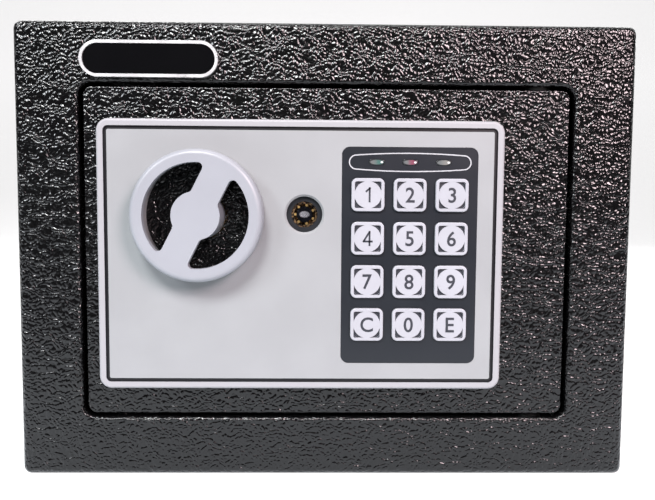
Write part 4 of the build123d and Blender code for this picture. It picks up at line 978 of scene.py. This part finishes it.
@dataclass
class Keys:
    """The twelve keycaps, each with its character and four dark corner inlays.

    Sizes are in millimetres, apart from the typeface's weight and merging distance.
    """

    characters: tuple[str, ...] = ("1", "2", "3", "4", "5", "6", "7", "8", "9", "c", "0", "e")
    character_height: float = 5.5
    character_weight: float = 0.013
    character_narrowing: float = 0.96
    character_steps: int = 6
    character_merge: float = 0.001
    stroke: float = 0.7
    ink: float = 0.04
    cap: float = 12.05
    rim: float = 1.2
    pocket_depth: float = 0.6
    pocket_corner: float = 1.5
    pad_margin: float = 0.1
    inlay_corner: float = 0.6
    clear: float = 0.03
    corner_steps: int = 4
    ink_steps: int = 5
    pad_steps: int = 10

    def dress(self) -> None:
        """Finishes the keycaps."""
        dress(KEY, *(f"key_{name}" for name in self.characters))

    def build(self) -> None:
        """Makes the dark marks of each key."""
        for name in self.characters:
            face, size = middle_and_size(f"key_{name}")
            face.y -= size.y / 2
            shape = self.character(name.upper(), face)
            self.inlays(shape, face)
            piece(f"key_marks_{name}", shape, INK, f"key_{name}")

    def character(self, text: str, face: Vector) -> bmesh.types.BMesh:
        """A printed character, in place.

        Args:
            text: the character.
            face: the middle of the key's front.

        Returns:
            Its mesh.
        """
        shape = self.stroked(text) if text in STROKES else self.lettered(text)
        points = [v.co for v in shape.verts]
        left, right = min(p.x for p in points), max(p.x for p in points)
        bottom, top = min(p.y for p in points), max(p.y for p in points)
        scale = self.character_height * MM / (top - bottom)
        centred = Matrix.Translation((-(left + right) / 2, -(bottom + top) / 2, 0))
        sized = Matrix.Diagonal((scale * self.character_narrowing, scale, scale, 1))
        upright = Matrix.Rotation(math.radians(90), 4, "X") @ sized
        placed = Matrix.Translation(face) @ upright @ centred
        bmesh.ops.transform(shape, verts=shape.verts, matrix=placed)
        raise_faces(shape, shape.faces[:], self.ink * MM)
        return shape

    def lettered(self, text: str) -> bmesh.types.BMesh:
        """A flat character in the plain typeface.

        Args:
            text: the character.

        Returns:
            A mesh that lies across X and Y.
        """
        curve = bpy.data.curves.new(f"character_{text}", "FONT")
        curve.body = text
        curve.offset = self.character_weight
        curve.resolution_u = self.character_steps
        flat = bpy.data.objects.new(f"character_{text}", curve)
        mesh = bpy.data.meshes.new_from_object(flat)
        shape = bmesh.new()
        shape.from_mesh(mesh)
        bpy.data.objects.remove(flat)
        bpy.data.curves.remove(curve)
        bpy.data.meshes.remove(mesh)
        bmesh.ops.remove_doubles(shape, verts=shape.verts, dist=self.character_merge)
        return shape

    def stroked(self, text: str) -> bmesh.types.BMesh:
        """A flat character of straight strokes, one unit high.

        Args:
            text: the character.

        Returns:
            A mesh that lies across X and Y.
        """
        shape = bmesh.new()
        half = self.stroke / self.character_height / 2
        for start, end in STROKES[text]:
            first, last = Vector((*start, 0)), Vector((*end, 0))
            along = (last - first).normalized() * half
            beside = Vector((-along.y, along.x, 0))
            first, last = first - along, last + along
            corners = (first - beside, last - beside, last + beside, first + beside)
            shape.faces.new([shape.verts.new(corner) for corner in corners])
        return shape

    def sharpen(self, shape: bmesh.types.BMesh, face: Vector) -> None:
        """Adds the ink that squares a pocket's round corner, on the key's front.

        Args:
            shape: the mesh that gets it.
            face: the middle of the key's front.
        """
        side = (self.cap / 2 - self.rim) * MM
        ink = bmesh.new()
        ends = []
        for radius in (self.pocket_corner * MM, self.inlay_corner * MM):
            centre = face + Vector((side - radius, 0, side - radius))
            ends.append(turn(ink, centre + Vector((radius, 0, 0)), centre, 90, self.ink_steps))
        ink.edges.new((ends[0][0], ends[1][0]))
        ink.edges.new((ends[0][1], ends[1][1]))
        bmesh.ops.triangle_fill(ink, use_beauty=True, edges=ink.edges[:])
        absorb(shape, ink)

    def inlays(self, shape: bmesh.types.BMesh, face: Vector) -> None:
        """Adds the four corner inlays.

        Args:
            shape: the mesh that gets them.
            face: the middle of the key's front.
        """
        half = (self.cap / 2 - self.rim) * MM
        pad = half + (self.pad_margin + self.clear) * MM
        side = half - self.clear * MM
        corner = (self.pocket_corner - self.clear) * MM
        floor = face + Vector((0, self.pocket_depth * MM, 0))
        start = math.acos(side / pad)
        inlay = bmesh.new()
        first = floor + pad * Vector((math.cos(start), 0, math.sin(start)))
        ends = turn(inlay, first, floor, 90 - 2 * math.degrees(start), self.pad_steps)
        centre = floor + Vector((side - corner, 0, side - corner))
        rounding = turn(
            inlay, centre + Vector((corner, 0, 0)), centre, 90, self.corner_steps
        )
        inlay.edges.new((ends[0], rounding[0]))
        inlay.edges.new((ends[1], rounding[1]))
        bmesh.ops.triangle_fill(inlay, use_beauty=True, edges=inlay.edges[:])
        self.sharpen(inlay, face)
        raise_faces(inlay, inlay.faces[:], self.ink * MM)
        bmesh.ops.spin(
            inlay, geom=[*inlay.verts, *inlay.edges, *inlay.faces], cent=floor, axis=TO_FRONT,
            dvec=(0, 0, 0), angle=math.radians(270), steps=3, use_duplicate=True,
        )
        absorb(shape, inlay)


@dataclass
class HandKnob:
    """The round knob, its spindle and the crank behind it."""

    def dress(self) -> None:
        """Finishes the knob and what turns with it."""
        dress(KNOB, "knob")
        dress(PLATED, "knob_grub_screw", "knob_spindle", "crank", "bush_nut")
        dress(BRASS, "spindle_bush")


@dataclass
class BoltWork:
    """Carriage, bolts, guides and the solenoid that holds them. Sizes in millimetres."""

    plunger_travel: float = 1.5

    def dress(self) -> None:
        """Finishes the bolt work."""
        dress(
            PLATED, "bolt_carriage", "bolt_guide", "guide_posts", "solenoid_frame",
            "solenoid_plunger", "cover_posts",
        )
        dress(CHROME, "locking_bolts")
        dress(COIL, "solenoid_coil")

    def build(self) -> None:
        """Makes the plunger's spring from the solid part's mesh, carried by the door."""
        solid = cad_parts["plunger_spring"]
        shape = bmesh.new()
        shape.from_mesh(solid.data)
        bmesh.ops.transform(shape, verts=shape.verts, matrix=solid.matrix_world)
        made = piece("plunger_coil_spring", shape, PLATED, "door")
        foot, size = middle_and_size("plunger_spring")
        foot.z -= size.z / 2
        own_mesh(made)
        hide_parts("plunger_spring")


@dataclass
class KeyLock:
    """The emergency lock: dark cylinder, bright core and the pins in its ring slot.

    Sizes are in millimetres.
    """

    pin_count: int = 7
    pin_radius: float = 0.5
    pin_circle: float = 3.45
    pin_sink: float = 0.25
    pin_length: float = 3.0
    pin_sides: int = 12

    def dress(self) -> None:
        """Finishes the lock."""
        dress(LOCK_DARK, "lock_cylinder")
        dress(LOCK_STEEL, "lock_core")
        dress(PLATED, "lock_nut", "lock_cam")

    def build(self) -> None:
        """Makes the spring pins in the ring slot."""
        face, size = middle_and_size("lock_core")
        face.y -= size.y / 2
        upright = Matrix.Rotation(math.radians(90), 4, "X")
        shape = bmesh.new()
        for number in range(self.pin_count):
            angle = 2 * math.pi * (number + 0.5) / self.pin_count
            spot = face + Vector((math.cos(angle), 0, math.sin(angle))) * self.pin_circle * MM
            spot.y += (self.pin_sink + self.pin_length) * MM
            made = bmesh.ops.create_circle(
                shape, cap_ends=True, radius=self.pin_radius * MM, segments=self.pin_sides,
                matrix=Matrix.Translation(spot) @ upright,
            )
            faces = list({end for vertex in made["verts"] for end in vertex.link_faces})
            raise_faces(shape, faces, self.pin_length * MM)
        piece("lock_pins", shape, BRASS, "lock_core")


@dataclass
class BackCover:
    """What the back of the door carries: the moulded cover, cells, reset button and wiring."""

    def dress(self) -> None:
        """Finishes the cover and what it holds."""
        dress(COVER, "mechanism_cover", "battery_box", "battery_lid")
        dress(PLATED, "cover_screws")
        dress(CONTACT, "battery_contacts")
        dress(CELL, "batteries")
        dress(SWITCH, "reset_switch")
        dress(BUTTON, "reset_button")
        dress(RUBBER, "wire_grommet")
        dress(SHEATH, "wiring")


@dataclass
class Softbox:
    """A square studio light. Sizes in metres, power in watts."""

    name: str
    place: Vector
    size: float
    power: float
    colour: Colour = (1.0, 1.0, 1.0)
    aim: Vector = field(default_factory=lambda: Vector((0, -0.08, 0.09)))

    def build(self) -> None:
        """Hangs the light and turns it to its aim."""
        light = bpy.data.lights.new(self.name, "AREA")
        light.shape = "SQUARE"
        light.size = self.size
        light.energy = self.power
        light.color = self.colour
        made = bpy.data.objects.new(self.name, light)
        bpy.context.scene.collection.objects.link(made)
        made.location = self.place
        made.rotation_euler = (self.aim - self.place).to_track_quat("-Z", "Y").to_euler()


@dataclass
class Studio:
    """White paper sweep, soft lights and the camera. Sizes in metres, the lens in millimetres."""

    lens: float = 35.161
    eye: Vector = field(default_factory=lambda: Vector((-0.003115, -0.324055, 0.102480)))
    forward: Vector = field(default_factory=lambda: Vector((0.015645, 0.997635, -0.066932)))
    right: Vector = field(default_factory=lambda: Vector((0.999861, -0.015221, 0.006834)))
    half_width: float = 8.0
    front: float = -3.0
    back: float = 2.2
    bend: float = 0.6
    height: float = 3.5
    bend_steps: int = 16
    sensor: float = 36.0
    nearest: float = 0.01
    room_light: float = 0.06
    room_seen: float = 0.93

    def build(self) -> None:
        """Sets up paper, lights, world and camera."""
        self.paper()
        self.lights()
        self.room()
        self.camera()

    def paper(self) -> None:
        """One sheet of paper: floor, bend and backdrop, swept across the room."""
        shape = bmesh.new()
        first = shape.verts.new((-self.half_width, self.front, 0))
        start = shape.verts.new((-self.half_width, self.back - self.bend, 0))
        shape.edges.new((first, start))
        bent = bmesh.ops.spin(
            shape, geom=[start], cent=(-self.half_width, self.back - self.bend, self.bend),
            axis=(1, 0, 0), dvec=(0, 0, 0), angle=math.radians(90), steps=self.bend_steps,
            use_duplicate=False,
        )
        top = shape.verts.new((-self.half_width, self.back, self.height))
        shape.edges.new((points_of(bent["geom_last"])[0], top))
        swept = bmesh.ops.extrude_edge_only(shape, edges=shape.edges[:])
        across = (2 * self.half_width, 0, 0)
        bmesh.ops.translate(shape, verts=points_of(swept["geom"]), vec=across)
        closed("studio_paper", shape, PAPER)

    def lights(self) -> None:
        """Three bright boxes in front, and soft ones above and behind."""
        for light in (
            Softbox("cool_left", Vector((-0.9, -0.9, 0.8)), 0.34, 10.5, (0.92, 0.96, 1.0)),
            Softbox("warm_right", Vector((0.6, -0.95, 0.65)), 0.38, 16.5, (1.0, 0.8, 0.83)),
            Softbox("overhead", Vector((0.1, 0.1, 1.5)), 1.0, 8.0, aim=Vector((0, 0, 0))),
            Softbox("key_top", Vector((-0.2, -0.85, 0.85)), 0.3, 13.5),
            Softbox("back_left", Vector((-0.9, 1.3, 1.2)), 1.0, 9.0),
            Softbox("back_right", Vector((1.0, 1.0, 0.8)), 0.7, 4.0),
        ):
            light.build()

    def room(self) -> None:
        """A dim room round the paper, which the camera sees as white."""
        world = bpy.data.worlds.new("studio_room")
        world.use_nodes = True
        nodes, links = world.node_tree.nodes, world.node_tree.links
        background = nodes["Background"]
        background.inputs["Color"].default_value = (0.95, 0.97, 1.0, 1.0)
        background.inputs["Strength"].default_value = self.room_light
        seen = nodes.new("ShaderNodeBackground")
        seen.inputs["Color"].default_value = (1.0, 1.0, 1.0, 1.0)
        seen.inputs["Strength"].default_value = self.room_seen
        mixed = nodes.new("ShaderNodeMixShader")
        links.new(nodes.new("ShaderNodeLightPath").outputs["Is Camera Ray"], mixed.inputs["Fac"])
        links.new(background.outputs["Background"], mixed.inputs[1])
        links.new(seen.outputs["Background"], mixed.inputs[2])
        links.new(mixed.outputs["Shader"], nodes["World Output"].inputs["Surface"])
        bpy.context.scene.world = world
        bpy.context.scene.view_settings.view_transform = "Standard"

    def camera(self) -> None:
        """Stands the camera where the photograph was taken from."""
        data = bpy.data.cameras.new("photo_camera")
        data.lens = self.lens
        data.sensor_width = self.sensor
        data.clip_start = self.nearest
        made = bpy.data.objects.new("photo_camera", data)
        bpy.context.scene.collection.objects.link(made)
        back = -self.forward.normalized()
        up = back.cross(self.right).normalized()
        right = up.cross(back)
        turned = Matrix((right, up, back)).transposed().to_4x4()
        made.matrix_world = Matrix.Translation(self.eye) @ turned
        bpy.context.scene.camera = made


def main() -> None:
    """Dresses the safe, builds its fine pieces and sets up the studio."""
    logging.basicConfig(level=logging.INFO, format="%(name)s: %(message)s")
    parts = (
        Cabinet(), Badge(), Door(), Fascia(), Keys(), HandKnob(), BoltWork(), KeyLock(),
        BackCover(),
    )
    for part in parts:
        part.dress()
        if hasattr(part, "build"):
            part.build()
    Studio().build()


if __name__ == "__main__":
    main()
